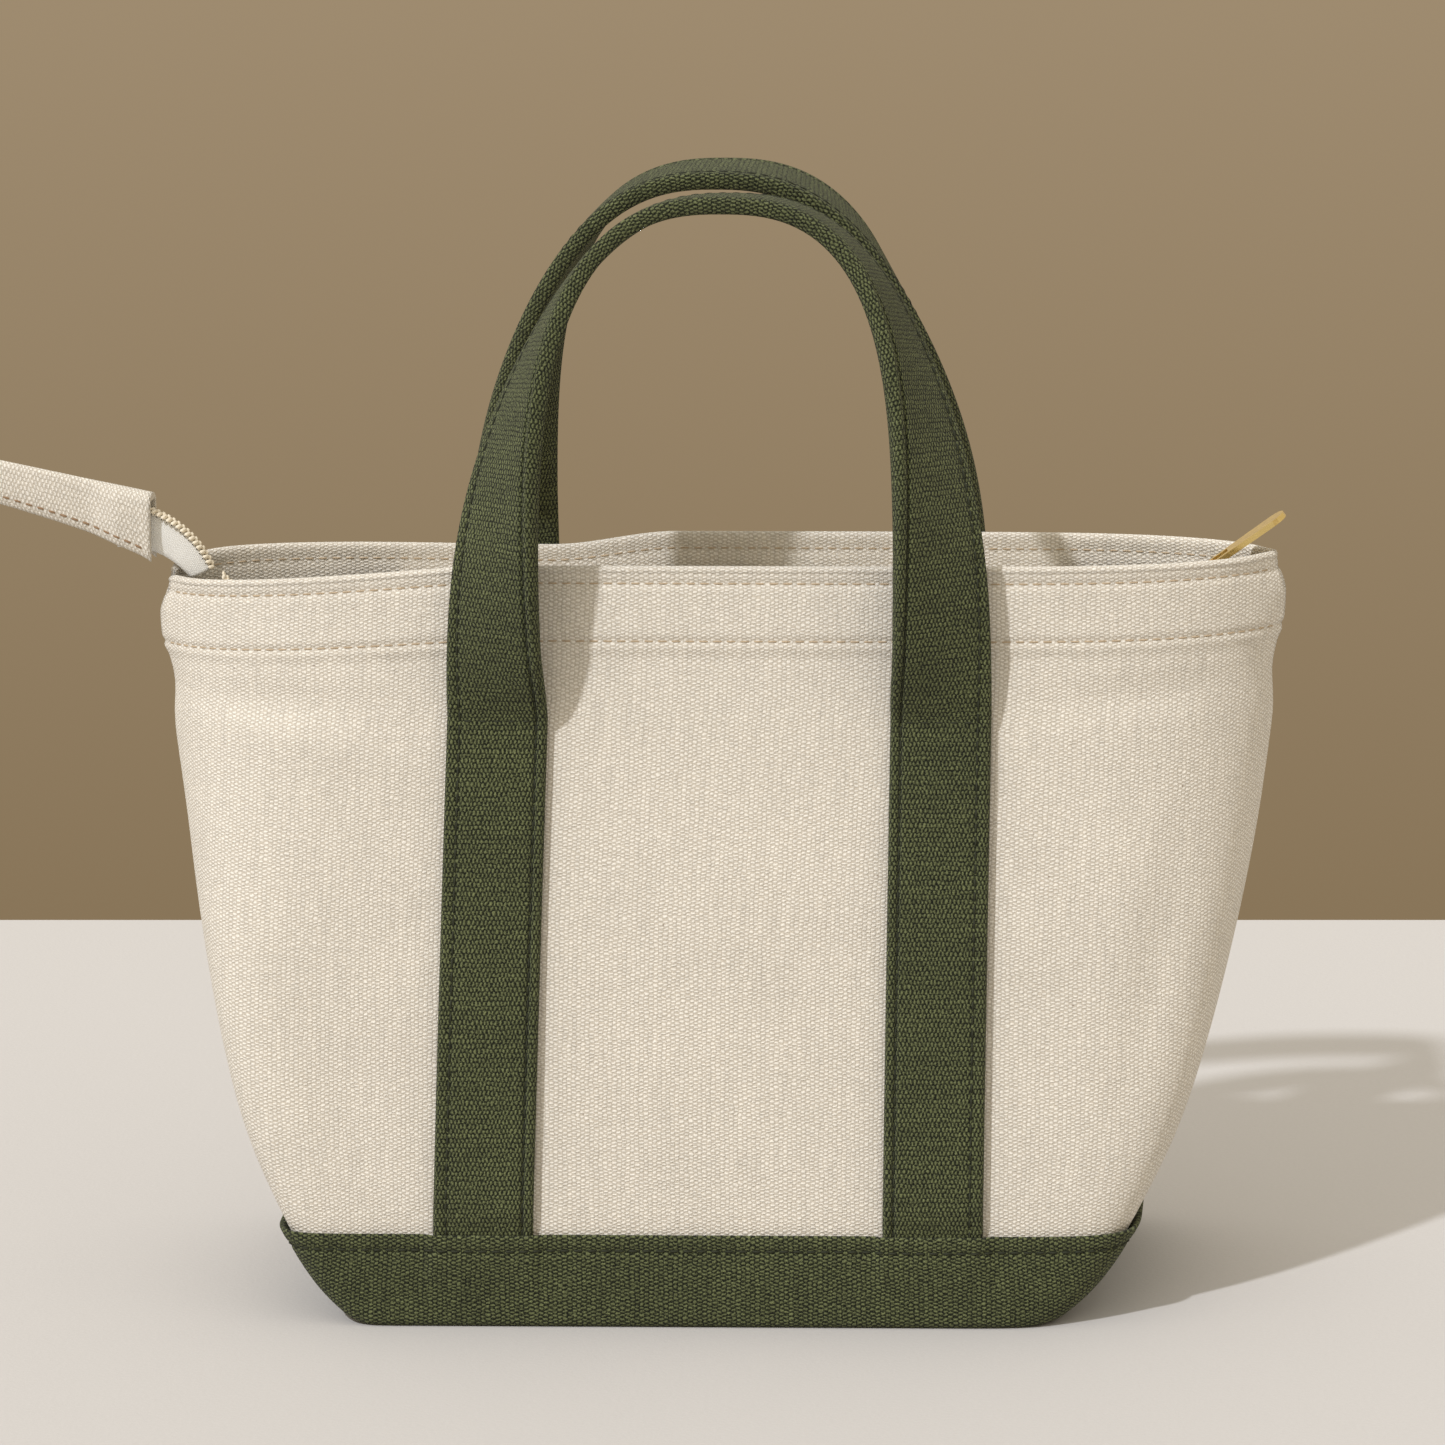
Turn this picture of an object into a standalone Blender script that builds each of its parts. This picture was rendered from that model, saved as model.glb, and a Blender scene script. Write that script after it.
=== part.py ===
"""A small zip-top canvas bag: two body panels on a boxed bottom, a base cover sewn round the foot,
two folded-canvas handles, and a recessed coil zip whose closed end leaves the bag as a tail.

Frame: X is the width (right is +X), the front faces -Y and Z is up. The origin is the centre of
the underside. Lengths are in metres.
"""

import math

import bmesh
import bpy
import numpy as np

# Driving sizes of the bag's body
HEIGHT = 0.188
RIM_HALF_WIDTH = 0.1415
RIM_HALF_DEPTH = 0.024
BASE_HALF_WIDTH = 0.086
BASE_HALF_DEPTH = 0.052
CANVAS = 0.0014
GAP = 0.0003
SEAM_GAP = 0.00015
SECTION_POINTS = 61

# The sides flare out sharply over the base cover, then more gently to the rim
FOOT_FLARE = 0.019
FOOT_FLARE_HEIGHT = 0.0135
SIDE_CURVE = 1.93

# The left rim corner sags under the zip's tail
CORNER_DROP = 0.0085
CORNER_DROP_START = 0.092

# Corner sharpness of the cross-section, from the boxed base to the pointed rim
BASE_SIDE_POWER = 10.0
RIM_SIDE_POWER = 6.5
BASE_END_POWER = 0.10

# Hem, base cover and floor
HEM_DEPTH = 0.0225
HEM_EXTRA = 0.0014
COVER_HEIGHT = 0.0235
COVER_THICKNESS = 0.0012
COVER_FOOT_ROUND = 0.0022
COVER_GAP = 0.0008
PANEL_FOOT = COVER_THICKNESS + GAP

# Straps and handles
STRAP_WIDTH = 0.025
STRAP_THICKNESS = 0.0032
STRAP_CENTRE = 0.0553
STRAP_TOP = 0.151
HANDLE_THICKNESS = 0.0042
HANDLE_FOOT = STRAP_TOP + 0.0003
FRONT_HANDLE_RISE = 0.1256
BACK_HANDLE_RISE = 0.1294
HANDLE_POWER = 2.57
HANDLE_TOP_Y = 0.0165
HANDLE_BOW = 0.0100
HANDLE_FOOT_TWIST = math.radians(1.5)
HANDLE_TOP_TWIST = math.radians(81.0)
FRONT_TWIST_DELAY = 1.43
BACK_TWIST_DELAY = 1.25
BACK_HANDLE_BULGE = 0.0036
HANDLE_HINGE_OUT = 0.0022

# Zip: a strip of canvas, a woven tape and a coil on each side
ZIP_HEIGHT = 0.177
FLAP_HALF_LENGTH = 0.092
FACING_HALF_LENGTH = 0.085
FLAP_HINGE_Y = 0.0155
FACING_DROP = 0.009
STRIP_THICKNESS = 0.0010
STRIP_INNER_Y = 0.0036
TAPE_THICKNESS = 0.0006
TAPE_WIDTH = 0.0115
COIL_WIDTH = 0.0027
COIL_HEIGHT = 0.0018
ZIP_RIGHT_END = 0.1230
ZIP_LEFT_TURN = -0.1160

# Slider and pull, at the closed end of the zip
SLIDER_X = 0.1205
SLIDER_LENGTH = 0.0110
SLIDER_HALF_WIDTH = 0.0046
PULL_HINGE_Z = 0.1824
PULL_ANGLE = math.radians(36.0)
PULL_LENGTH = 0.0255
PULL_WIDTH = 0.0072
PULL_THICKNESS = 0.0014
PULL_EYE_HALF_WIDTH = 0.0018
BAIL_HALF_WIDTH = 0.0011

# Tail: the closed zip past the left rim corner, and its end tab
TAIL_HINGE_X = -0.1280
TAIL_RISE = 0.0172
ZIP_END_BACK = 0.0018
TAIL_TAPE_DEPTH_START = 0.0056
TAIL_TAPE_DEPTH_END = 0.0110
TAIL_COIL_HALF_WIDTH = 0.0026
TAB_START = -0.1435
TAB_END = -0.2000

MATERIALS = {
    "canvas": ((0.74, 0.66, 0.54), 0.92, 0.0),
    "green_canvas": ((0.055, 0.068, 0.030), 0.92, 0.0),
    "binding": ((0.78, 0.72, 0.62), 0.90, 0.0),
    "tape": ((0.74, 0.74, 0.72), 0.75, 0.0),
    "coil": ((0.72, 0.64, 0.50), 0.55, 0.0),
    "brass": ((0.70, 0.52, 0.22), 0.28, 1.0),
}


def clear_scene():
    for item in list(bpy.data.objects):
        bpy.data.objects.remove(item, do_unlink=True)


def principled(name, kind):
    """A material of the object's own, with one kind's colour, roughness and metallic value."""
    colour, roughness, metallic = MATERIALS[kind]
    material = bpy.data.materials.new(name)
    material.use_nodes = True
    shader = material.node_tree.nodes["Principled BSDF"]
    shader.inputs["Base Color"].default_value = (*colour, 1.0)
    shader.inputs["Roughness"].default_value = roughness
    shader.inputs["Metallic"].default_value = metallic
    return material


def add_object(name, kind, mesh_data, parent=None):
    """Turns a finished bmesh, in world coordinates, into a named object under its parent."""
    bmesh.ops.recalc_face_normals(mesh_data, faces=mesh_data.faces)
    mesh = bpy.data.meshes.new(name)
    if parent is not None:
        for vertex in mesh_data.verts:
            vertex.co -= parent.location
    mesh_data.to_mesh(mesh)
    mesh_data.free()
    mesh.materials.append(principled(name, kind))
    item = bpy.data.objects.new(name, mesh)
    bpy.context.collection.objects.link(item)
    item.parent = parent
    return item


def joint_empty(name, place, parent=None):
    """An empty on a joint's axis, which carries the pieces that move about it."""
    empty = bpy.data.objects.new(name, None)
    bpy.context.collection.objects.link(empty)
    empty.location = place
    if parent is not None:
        empty.parent = parent
        empty.matrix_parent_inverse = parent.matrix_world.inverted()
    return empty


def grid_faces(mesh_data, grid):
    """Quads over a grid of vertices given as rows."""
    for low, high in zip(grid[:-1], grid[1:]):
        for i in range(len(low) - 1):
            mesh_data.faces.new((low[i], low[i + 1], high[i + 1], high[i]))


def sheet_solid(name, kind, outer, inner, parent=None):
    """A closed sheet between two grids of points of the same size."""
    mesh_data = bmesh.new()
    front = [[mesh_data.verts.new(p) for p in row] for row in outer]
    back = [[mesh_data.verts.new(p) for p in row] for row in inner]
    grid_faces(mesh_data, front)
    grid_faces(mesh_data, back)
    for edge_row in (0, -1):
        grid_faces(mesh_data, [front[edge_row], back[edge_row]])
    for edge_column in (0, -1):
        left = [row[edge_column] for row in front]
        right = [row[edge_column] for row in back]
        grid_faces(mesh_data, [left, right])
    return add_object(name, kind, mesh_data, parent)


def ring_solid(name, kind, rings, parent=None):
    """A closed body skinned over rings of points, with a flat cap on the first and the last."""
    mesh_data = bmesh.new()
    verts = [[mesh_data.verts.new(p) for p in ring] for ring in rings]
    for low, high in zip(verts[:-1], verts[1:]):
        count = len(low)
        for i in range(count):
            j = (i + 1) % count
            mesh_data.faces.new((low[i], low[j], high[j], high[i]))
    mesh_data.faces.new(verts[0])
    mesh_data.faces.new(verts[-1])
    return add_object(name, kind, mesh_data, parent)


def half_width(z):
    """Half the bag's width at the side seams: a quick flare at the foot, then a gentle curve."""
    t = z / HEIGHT
    flare = FOOT_FLARE * (1.0 - math.exp(-z / FOOT_FLARE_HEIGHT))
    widening = RIM_HALF_WIDTH - FOOT_FLARE - BASE_HALF_WIDTH
    return BASE_HALF_WIDTH + flare + widening * (1.0 - (1.0 - t) ** SIDE_CURVE)


def half_depth(z):
    """Half the bag's depth at the middle, slightly fuller than a straight taper."""
    t = z / HEIGHT
    return RIM_HALF_DEPTH + (BASE_HALF_DEPTH - RIM_HALF_DEPTH) * (1.0 - t**1.3)


def corner_drop(x, z):
    """How far a point sags near the left rim corner."""
    along = max(0.0, (-x - CORNER_DROP_START) / (RIM_HALF_WIDTH - CORNER_DROP_START))
    return CORNER_DROP * along**1.2 * (z / HEIGHT) ** 3


def resample(points, count):
    """The same polyline with points at equal steps along it."""
    steps = np.linalg.norm(np.diff(points, axis=0), axis=1)
    along = np.concatenate([[0.0], np.cumsum(steps)])
    places = np.linspace(0.0, along[-1], count)
    columns = [np.interp(places, along, points[:, k]) for k in range(points.shape[1])]
    return np.stack(columns, axis=1)


def outward_normals(points):
    """Unit normals of a front half-section that runs from the left seam to the right one."""
    tangents = np.gradient(points, axis=0)
    normals = np.stack([tangents[:, 1], -tangents[:, 0]], axis=1)
    return normals / np.linalg.norm(normals, axis=1, keepdims=True)


def front_section(z, offset=0.0, count=301):
    """The front half of the bag's outer skin at a height, moved outward by an offset, as (x, y)."""
    t = z / HEIGHT
    side_power = RIM_SIDE_POWER + (BASE_SIDE_POWER - RIM_SIDE_POWER) * (1.0 - t) ** 2
    end_power = BASE_END_POWER ** ((1.0 - t) ** 1.3)
    angle = np.linspace(-math.pi / 2, math.pi / 2, 4001)
    x = half_width(z) * np.sign(np.sin(angle)) * np.abs(np.sin(angle)) ** (2.0 / side_power)
    y = -half_depth(z) * np.abs(np.cos(angle)) ** (2.0 * end_power)
    points = resample(np.stack([x, y], axis=1), count)
    normals = outward_normals(points)
    points[:, 1] -= SEAM_GAP + CANVAS * abs(normals[0, 1])
    moved = points + normals * offset
    moved[:, 1] = np.minimum(moved[:, 1], -SEAM_GAP)
    return moved


def skin_y(x, z, offset=0.0):
    """The y of the front outer skin, moved outward by an offset, at one x and one height."""
    section = front_section(z, offset)
    return float(np.interp(x, section[:, 0], section[:, 1]))


def panel_heights():
    """The heights of a panel's rows below the hem, closer together where the foot flares."""
    rows = np.linspace(0.0, 1.0, 13) ** 1.5
    return list(PANEL_FOOT + (HEIGHT - HEM_DEPTH - PANEL_FOOT) * rows)


def body_panel(name, side):
    """One body panel from the floor to the rim, with the folded hem standing out at the top.

    side is 1 for the front and -1 for the back."""
    hem_foot = HEIGHT - HEM_DEPTH
    below = panel_heights()
    heights = below + [hem_foot + 0.0010, HEIGHT - 0.0115, HEIGHT - 0.0010, HEIGHT]
    extra = [0.0] * len(below) + [HEM_EXTRA, HEM_EXTRA, HEM_EXTRA, HEM_EXTRA - 0.0007]
    outer = []
    inner = []
    for z, hem in zip(heights, extra):
        skin = resample(front_section(z, hem), SECTION_POINTS)
        lining = resample(front_section(z, -CANVAS), SECTION_POINTS)
        outer.append([(x, side * y, z - corner_drop(x, z)) for x, y in skin])
        inner.append([(x, side * y, z - corner_drop(x, z)) for x, y in lining])
    sheet_solid(name, "canvas", outer, inner)


def closed_loop(z, offset):
    """A whole horizontal section of the bag as a ring of points."""
    front = resample(front_section(z, offset), SECTION_POINTS)
    ring = [(x, y, z) for x, y in front]
    ring += [(x, -y, z) for x, y in front[::-1]]
    return ring


def base_cover():
    """The green cover sewn round the foot: a tray with a flat underside and a rounded foot."""
    outer_offset = COVER_GAP + COVER_THICKNESS
    heights = [z for z in panel_heights()[1:] if z < COVER_HEIGHT] + [COVER_HEIGHT]
    rings = []
    for step in range(4):
        turn = math.pi / 2 * step / 3
        inset = COVER_FOOT_ROUND * (1.0 - math.sin(turn))
        rise = COVER_FOOT_ROUND * (1.0 - math.cos(turn))
        ring = closed_loop(rise, outer_offset - inset)
        rings.append([(x, y, rise) for x, y, _ in ring])
    for z in heights:
        rings.append(closed_loop(z, outer_offset))
    for z in heights[::-1]:
        rings.append(closed_loop(z, COVER_GAP))
    rings.append(closed_loop(COVER_THICKNESS, COVER_GAP))
    ring_solid("base_cover", "green_canvas", rings)


def bottom_panel():
    """The canvas floor between the two body panels."""
    inset = -(CANVAS + COVER_GAP)
    rings = [closed_loop(z, inset) for z in (PANEL_FOOT, PANEL_FOOT + CANVAS)]
    ring_solid("bottom_panel", "canvas", rings)


def seam_binding(name, side):
    """The bound seam allowance that stands inwards from a side seam. side is 1 right, -1 left."""
    half_thickness = 0.00105
    reach = 0.008
    rings = []
    for z in panel_heights()[2:-1]:
        lining = front_section(z, -(CANVAS + GAP))
        right = lining[lining[:, 0] > 0]
        clear = right[right[:, 1] < -(half_thickness + GAP)]
        end = float(clear[:, 0].max()) - GAP
        corners = (
            (end - reach, -half_thickness),
            (end, -half_thickness),
            (end, half_thickness),
            (end - reach, half_thickness),
        )
        rings.append([(side * x, y, z) for x, y in corners])
    ring_solid(name, "binding", rings)


def sewn_strap(name, side, hand):
    """The sewn part of a handle strap, flat on the panel from the cover to the cross-stitching."""
    foot = COVER_HEIGHT + 0.0010
    across = np.linspace(-STRAP_WIDTH / 2, STRAP_WIDTH / 2, 5)
    outer = []
    inner = []
    for z in np.linspace(foot, STRAP_TOP, 10):
        xs = [hand * STRAP_CENTRE + step for step in across]
        outer.append([(x, side * skin_y(x, z, GAP + STRAP_THICKNESS), z) for x in xs])
        inner.append([(x, side * skin_y(x, z, GAP), z) for x in xs])
    sheet_solid(name, "green_canvas", outer, inner)


def handle_hinge_y():
    """The hinge line of a handle, just outside the outer face of its sewn straps."""
    inner_edge = STRAP_CENTRE - STRAP_WIDTH / 2
    return skin_y(inner_edge, STRAP_TOP, GAP + STRAP_THICKNESS) - GAP - HANDLE_HINGE_OUT


def handle_lean(rise):
    """The y of the front handle's centre line, from 0 at its foot to 1 at its top, and how fast
    that y changes with the rise."""
    foot_y = skin_y(STRAP_CENTRE, STRAP_TOP, GAP + STRAP_THICKNESS / 2)
    travel = -HANDLE_TOP_Y - foot_y
    y = foot_y + travel * rise**2 * (3.0 - 2.0 * rise) - HANDLE_BOW * np.sin(math.pi * rise)
    change = travel * 6.0 * rise * (1.0 - rise) - HANDLE_BOW * math.pi * np.cos(math.pi * rise)
    return y, change


def handle_path(height, bulge, count=45):
    """A front handle's centre line from the left cross-stitching to the right one. The bulge is
    how far its legs stand out sideways at half height."""
    angle = np.linspace(math.pi, 0.0, 2001)
    power = 2.0 / HANDLE_POWER
    x = STRAP_CENTRE * np.sign(np.cos(angle)) * np.abs(np.cos(angle)) ** power
    rise = np.abs(np.sin(angle)) ** power
    swell = bulge * np.sin(math.pi * np.minimum(rise, 1.0))
    x += np.sign(x) * swell * np.minimum(1.0, np.abs(x) / 0.030)
    y, _ = handle_lean(rise)
    z = HANDLE_FOOT + height * rise
    return resample(np.stack([x, y, z], axis=1), count)


def strip_ring(centre, across, normal, width, thickness):
    """Eight points round a strap's section: a flat strip with its long corners cut off."""
    half = width / 2
    lip = thickness / 2
    cut = thickness * 0.3
    outline = (
        (-half, -lip + cut),
        (-half + cut, -lip),
        (half - cut, -lip),
        (half, -lip + cut),
        (half, lip - cut),
        (half - cut, lip),
        (-half + cut, lip),
        (-half, lip - cut),
    )
    return [centre + across * u + normal * v for u, v in outline]


def handle(name, side, height, delay, bulge, parent):
    """The free loop of a handle. It starts flat on the bag and turns almost a quarter by its
    top, its inner edge going outward, so that at the top its outer face looks up. The larger
    the delay, the higher up it turns."""
    centres = handle_path(height, bulge)
    rises = (centres[:, 2] - HANDLE_FOOT) / height
    _, changes = handle_lean(rises)
    tangents = np.gradient(centres, axis=0)
    tangents /= np.linalg.norm(tangents, axis=1, keepdims=True)
    rings = []
    for i, (centre, tangent) in enumerate(zip(centres, tangents)):
        rise = max(0.0, rises[i])
        turn = math.sin(math.pi / 2 * rise**delay)
        twist = HANDLE_FOOT_TWIST + (HANDLE_TOP_TWIST - HANDLE_FOOT_TWIST) * turn
        facing = np.array([0.0, -1.0, changes[i] / height])
        facing -= tangent * facing.dot(tangent)
        facing /= np.linalg.norm(facing)
        inward = np.cross(tangent, facing)
        across = math.cos(twist) * inward + math.sin(twist) * facing
        normal = np.cross(across, tangent)
        thickness = STRAP_THICKNESS + (HANDLE_THICKNESS - STRAP_THICKNESS) * min(1.0, 4 * rise)
        if i in (0, len(centres) - 1):
            across[2] = 0.0
            normal[2] = 0.0
        ring = strip_ring(centre, across, normal, STRAP_WIDTH, thickness)
        rings.append([(p[0], side * p[1], p[2]) for p in ring])
    ring_solid(name, "green_canvas", rings, parent)


def zip_facing(name, side):
    """The sewn margin of a zip strip: down the lining of the hem, and in to the flap's edge."""
    edge = FLAP_HINGE_Y + 0.0008
    half = STRIP_THICKNESS / 2
    rings = []
    for x in np.linspace(-FACING_HALF_LENGTH, FACING_HALF_LENGTH, 21):
        low = ZIP_HEIGHT - FACING_DROP
        top = ZIP_HEIGHT + half
        lining_low = skin_y(x, low, -(CANVAS + GAP))
        lining_top = skin_y(x, top, -(CANVAS + GAP))
        corners = (
            (lining_low, low),
            (lining_low + STRIP_THICKNESS, low),
            (lining_top + STRIP_THICKNESS, ZIP_HEIGHT - half),
            (-edge + 0.0002, ZIP_HEIGHT - half),
            (-edge + 0.0002, top),
            (lining_top, top),
        )
        rings.append([(x, side * y, z) for y, z in corners])
    ring_solid(name, "canvas", rings)


def box_rings(x0, x1, y0, y1, z0, z1):
    """Two rings that bound a plain block, from its low x to its high x."""
    corners = ((y0, z0), (y1, z0), (y1, z1), (y0, z1))
    return [[(x, y, z) for y, z in corners] for x in (x0, x1)]


def zip_strip(name, side, parent):
    """The free part of a canvas zip strip, from the flap's hinge line to beside the coil."""
    half = STRIP_THICKNESS / 2
    y0, y1 = sorted((-side * (FLAP_HINGE_Y - GAP), -side * STRIP_INNER_Y))
    rings = box_rings(
        -FLAP_HALF_LENGTH, FLAP_HALF_LENGTH, y0, y1, ZIP_HEIGHT - half, ZIP_HEIGHT + half
    )
    ring_solid(name, "canvas", rings, parent)


def tail_hinge():
    """The point on the left rim corner that the zip's tail turns about."""
    return (TAIL_HINGE_X, 0.0, HEIGHT - corner_drop(TAIL_HINGE_X, HEIGHT))


def zip_line():
    """The closed zip's ridge from its right end to the tail's hinge, as (x, z, fold).

    fold goes from 0, where the tapes lie flat, to 1, where they hang down back to back."""
    flat = [(x, ZIP_HEIGHT, 0.0) for x in np.linspace(ZIP_RIGHT_END, -FLAP_HALF_LENGTH, 15)]
    turn = []
    end_x = TAIL_HINGE_X + ZIP_END_BACK
    end_z = tail_hinge()[2] - ZIP_END_BACK
    for step in np.linspace(0.125, 1.0, 8):
        x = -FLAP_HALF_LENGTH + (end_x + FLAP_HALF_LENGTH) * step
        bend = max(0.0, (x - ZIP_LEFT_TURN) / (end_x - ZIP_LEFT_TURN))
        level = ZIP_HEIGHT - corner_drop(x, ZIP_HEIGHT)
        turn.append((x, level + (end_z - level) * bend**1.4, step))
    return flat + turn


def zip_tape(name, side, parent):
    """A woven zip tape under its canvas strip, narrowed at the right end by the pointed rim."""
    rise = -0.0009
    outer = []
    inner = []
    for x, z, fold in zip_line():
        angle = math.radians(80.0) * fold
        room = -skin_y(x, ZIP_HEIGHT, -(CANVAS + GAP)) - GAP
        width = min(TAPE_WIDTH, room - 0.0004) if fold == 0.0 else TAPE_WIDTH
        top = z + rise + TAPE_THICKNESS / 2
        start = (x, -side * 0.0003, top)
        end = (x, -side * (0.0003 + width * math.cos(angle)), top - width * math.sin(angle))
        outer.append([start, end])
        shift_y = side * TAPE_THICKNESS * math.sin(angle)
        shift_z = TAPE_THICKNESS * math.cos(angle)
        low_start = (x, start[1], start[2] - max(shift_z, TAPE_THICKNESS))
        low_end = (x, end[1] + shift_y * 0.9, end[2] - shift_z)
        inner.append([low_start, low_end])
    sheet_solid(name, "tape", outer, inner, parent)


def zip_coil(name, side, parent):
    """One side of the coil, on the inner edge of its tape."""
    near = SEAM_GAP
    far = SEAM_GAP + COIL_WIDTH
    low = -0.00035
    high = low + COIL_HEIGHT
    rings = []
    for x, z, _ in zip_line():
        corners = (
            (near, low),
            (far, low),
            (far, high - 0.0006),
            (far - 0.0006, high),
            (near, high),
        )
        rings.append([(x, -side * y, z + rise) for y, rise in corners])
    ring_solid(name, "coil", rings, parent)


def block(name, kind, sizes, parent):
    """A body made of blocks that share faces, cut into one by a union."""
    base = None
    for limits in sizes:
        mesh_data = bmesh.new()
        rings = box_rings(*limits)
        verts = [[mesh_data.verts.new(p) for p in ring] for ring in rings]
        for i in range(4):
            j = (i + 1) % 4
            mesh_data.faces.new((verts[0][i], verts[0][j], verts[1][j], verts[1][i]))
        mesh_data.faces.new(verts[0])
        mesh_data.faces.new(verts[1])
        if base is None:
            base = add_object(name, kind, mesh_data, parent)
            continue
        piece = add_object(name + "_block", kind, mesh_data, parent)
        piece.hide_render = True
        piece.display_type = "WIRE"
        union = base.modifiers.new("union", "BOOLEAN")
        union.operation = "UNION"
        union.object = piece
    return base


def slider_body(parent):
    """Two plates joined by the post that parts the coil."""
    x0 = SLIDER_X - SLIDER_LENGTH / 2
    x1 = SLIDER_X + SLIDER_LENGTH / 2
    y = SLIDER_HALF_WIDTH
    bottom = ZIP_HEIGHT - 0.0026
    top = ZIP_HEIGHT + 0.0018
    plate = 0.0009
    sizes = (
        (x0, x1, -y, y, bottom, bottom + plate),
        (x0, x1, -y, y, top, top + plate),
        (ZIP_RIGHT_END + GAP, x1 - 0.0004, -0.0015, 0.0015, bottom + plate / 2, top + plate / 2),
    )
    block("slider_body", "brass", sizes, parent)


def slider_bail(parent):
    """The arch on the slider's top plate that holds the pull."""
    foot = ZIP_HEIGHT + 0.0027 + GAP
    top = PULL_HINGE_Z + 0.0022
    bar = 0.0011
    x0 = SLIDER_X - 0.0042
    x1 = SLIDER_X + 0.0042
    y = BAIL_HALF_WIDTH
    sizes = (
        (x0, x1, -y, y, top - bar, top),
        (x0, x0 + bar, -y, y, foot, top - bar / 2),
        (x1 - bar, x1, -y, y, foot, top - bar / 2),
    )
    block("slider_bail", "brass", sizes, parent)


def pull_tab(parent):
    """A flat bar with an eye round the bail, leaning up to the right from its hinge line."""
    outline = []
    for step in range(9):
        turn = -math.pi / 2 + math.pi * step / 8
        reach = PULL_LENGTH - PULL_WIDTH / 2 + PULL_WIDTH / 2 * math.cos(turn)
        outline.append((reach, PULL_WIDTH / 2 * math.sin(turn)))
    eye_bar = 0.0007
    outline += [(-eye_bar, PULL_WIDTH / 2 - 0.0006), (-eye_bar, -PULL_WIDTH / 2 + 0.0006)]
    cosine = math.cos(PULL_ANGLE)
    sine = math.sin(PULL_ANGLE)

    def place(along, y, lift):
        x = SLIDER_X + along * cosine - lift * sine
        return (x, y, PULL_HINGE_Z + along * sine + lift * cosine)

    half = PULL_THICKNESS / 2
    rings = [[place(u, v, lift) for u, v in outline] for lift in (-half, half)]
    tab = ring_solid("pull_tab", "brass", rings, parent)
    w = PULL_EYE_HALF_WIDTH
    hole = ((eye_bar, -w), (0.0085, -w), (0.0085, w), (eye_bar, w))
    rings = [[place(u, v, lift) for u, v in hole] for lift in (-2 * half, 2 * half)]
    cutter = ring_solid("pull_eye_cutter", "brass", rings, parent)
    cutter.hide_render = True
    cutter.display_type = "WIRE"
    cut = tab.modifiers.new("eye", "BOOLEAN")
    cut.operation = "DIFFERENCE"
    cut.object = cutter


def tail_ridge(count=12):
    """The tail's ridge, an arc that rises steeply from its hinge and levels out into the tab."""
    hinge = tail_hinge()
    start = np.array([hinge[0] - 0.0004, hinge[2] + 0.0004])
    end = np.array([TAB_START - 0.0075, hinge[2] + TAIL_RISE])
    steep = start + np.array([-0.0045, 0.0105])
    level = end + np.array([0.0085, -0.0010])
    points = []
    for t in np.linspace(0.0, 1.0, count):
        a = (1 - t) ** 3
        b = 3 * t * (1 - t) ** 2
        c = 3 * t**2 * (1 - t)
        points.append(a * start + b * steep + c * level + t**3 * end)
    return np.array(points)


def ridge_frames(points):
    """Each point of a ridge in the XZ plane with the direction that hangs below it."""
    tangents = np.gradient(points, axis=0)
    tangents /= np.linalg.norm(tangents, axis=1, keepdims=True)
    below = np.stack([-tangents[:, 1], tangents[:, 0]], axis=1)
    return zip(points, below)


def tail_tape(name, side, parent):
    """A tail tape, hanging edge down below the coil."""
    near = 0.0004
    far = near + TAPE_THICKNESS * 1.4
    rings = []
    ridge = tail_ridge()
    for i, (point, below) in enumerate(ridge_frames(ridge)):
        t = i / (len(ridge) - 1)
        depth = TAIL_TAPE_DEPTH_START + (TAIL_TAPE_DEPTH_END - TAIL_TAPE_DEPTH_START) * t**0.8
        top = point + below * 0.0003
        foot = point + below * depth
        corners = ((near, top), (far, top), (far, foot), (near, foot))
        rings.append([(p[0], -side * y, p[1]) for y, p in corners])
    ring_solid(name, "tape", rings, parent)


def tail_coil(parent):
    """The closed coil on the tail's ridge."""
    rings = []
    for point, below in ridge_frames(tail_ridge()):
        w = TAIL_COIL_HALF_WIDTH
        corners = ((-w, 0.0), (w, 0.0), (w, -0.0012), (w - 0.0008, -0.0019))
        corners += ((-w + 0.0008, -0.0019), (-w, -0.0012))
        rings.append([(p[0], y, p[1]) for y, p in ((y, point + below * d) for y, d in corners)])
    ring_solid("zip_tail_coil", "coil", rings, parent)


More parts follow.
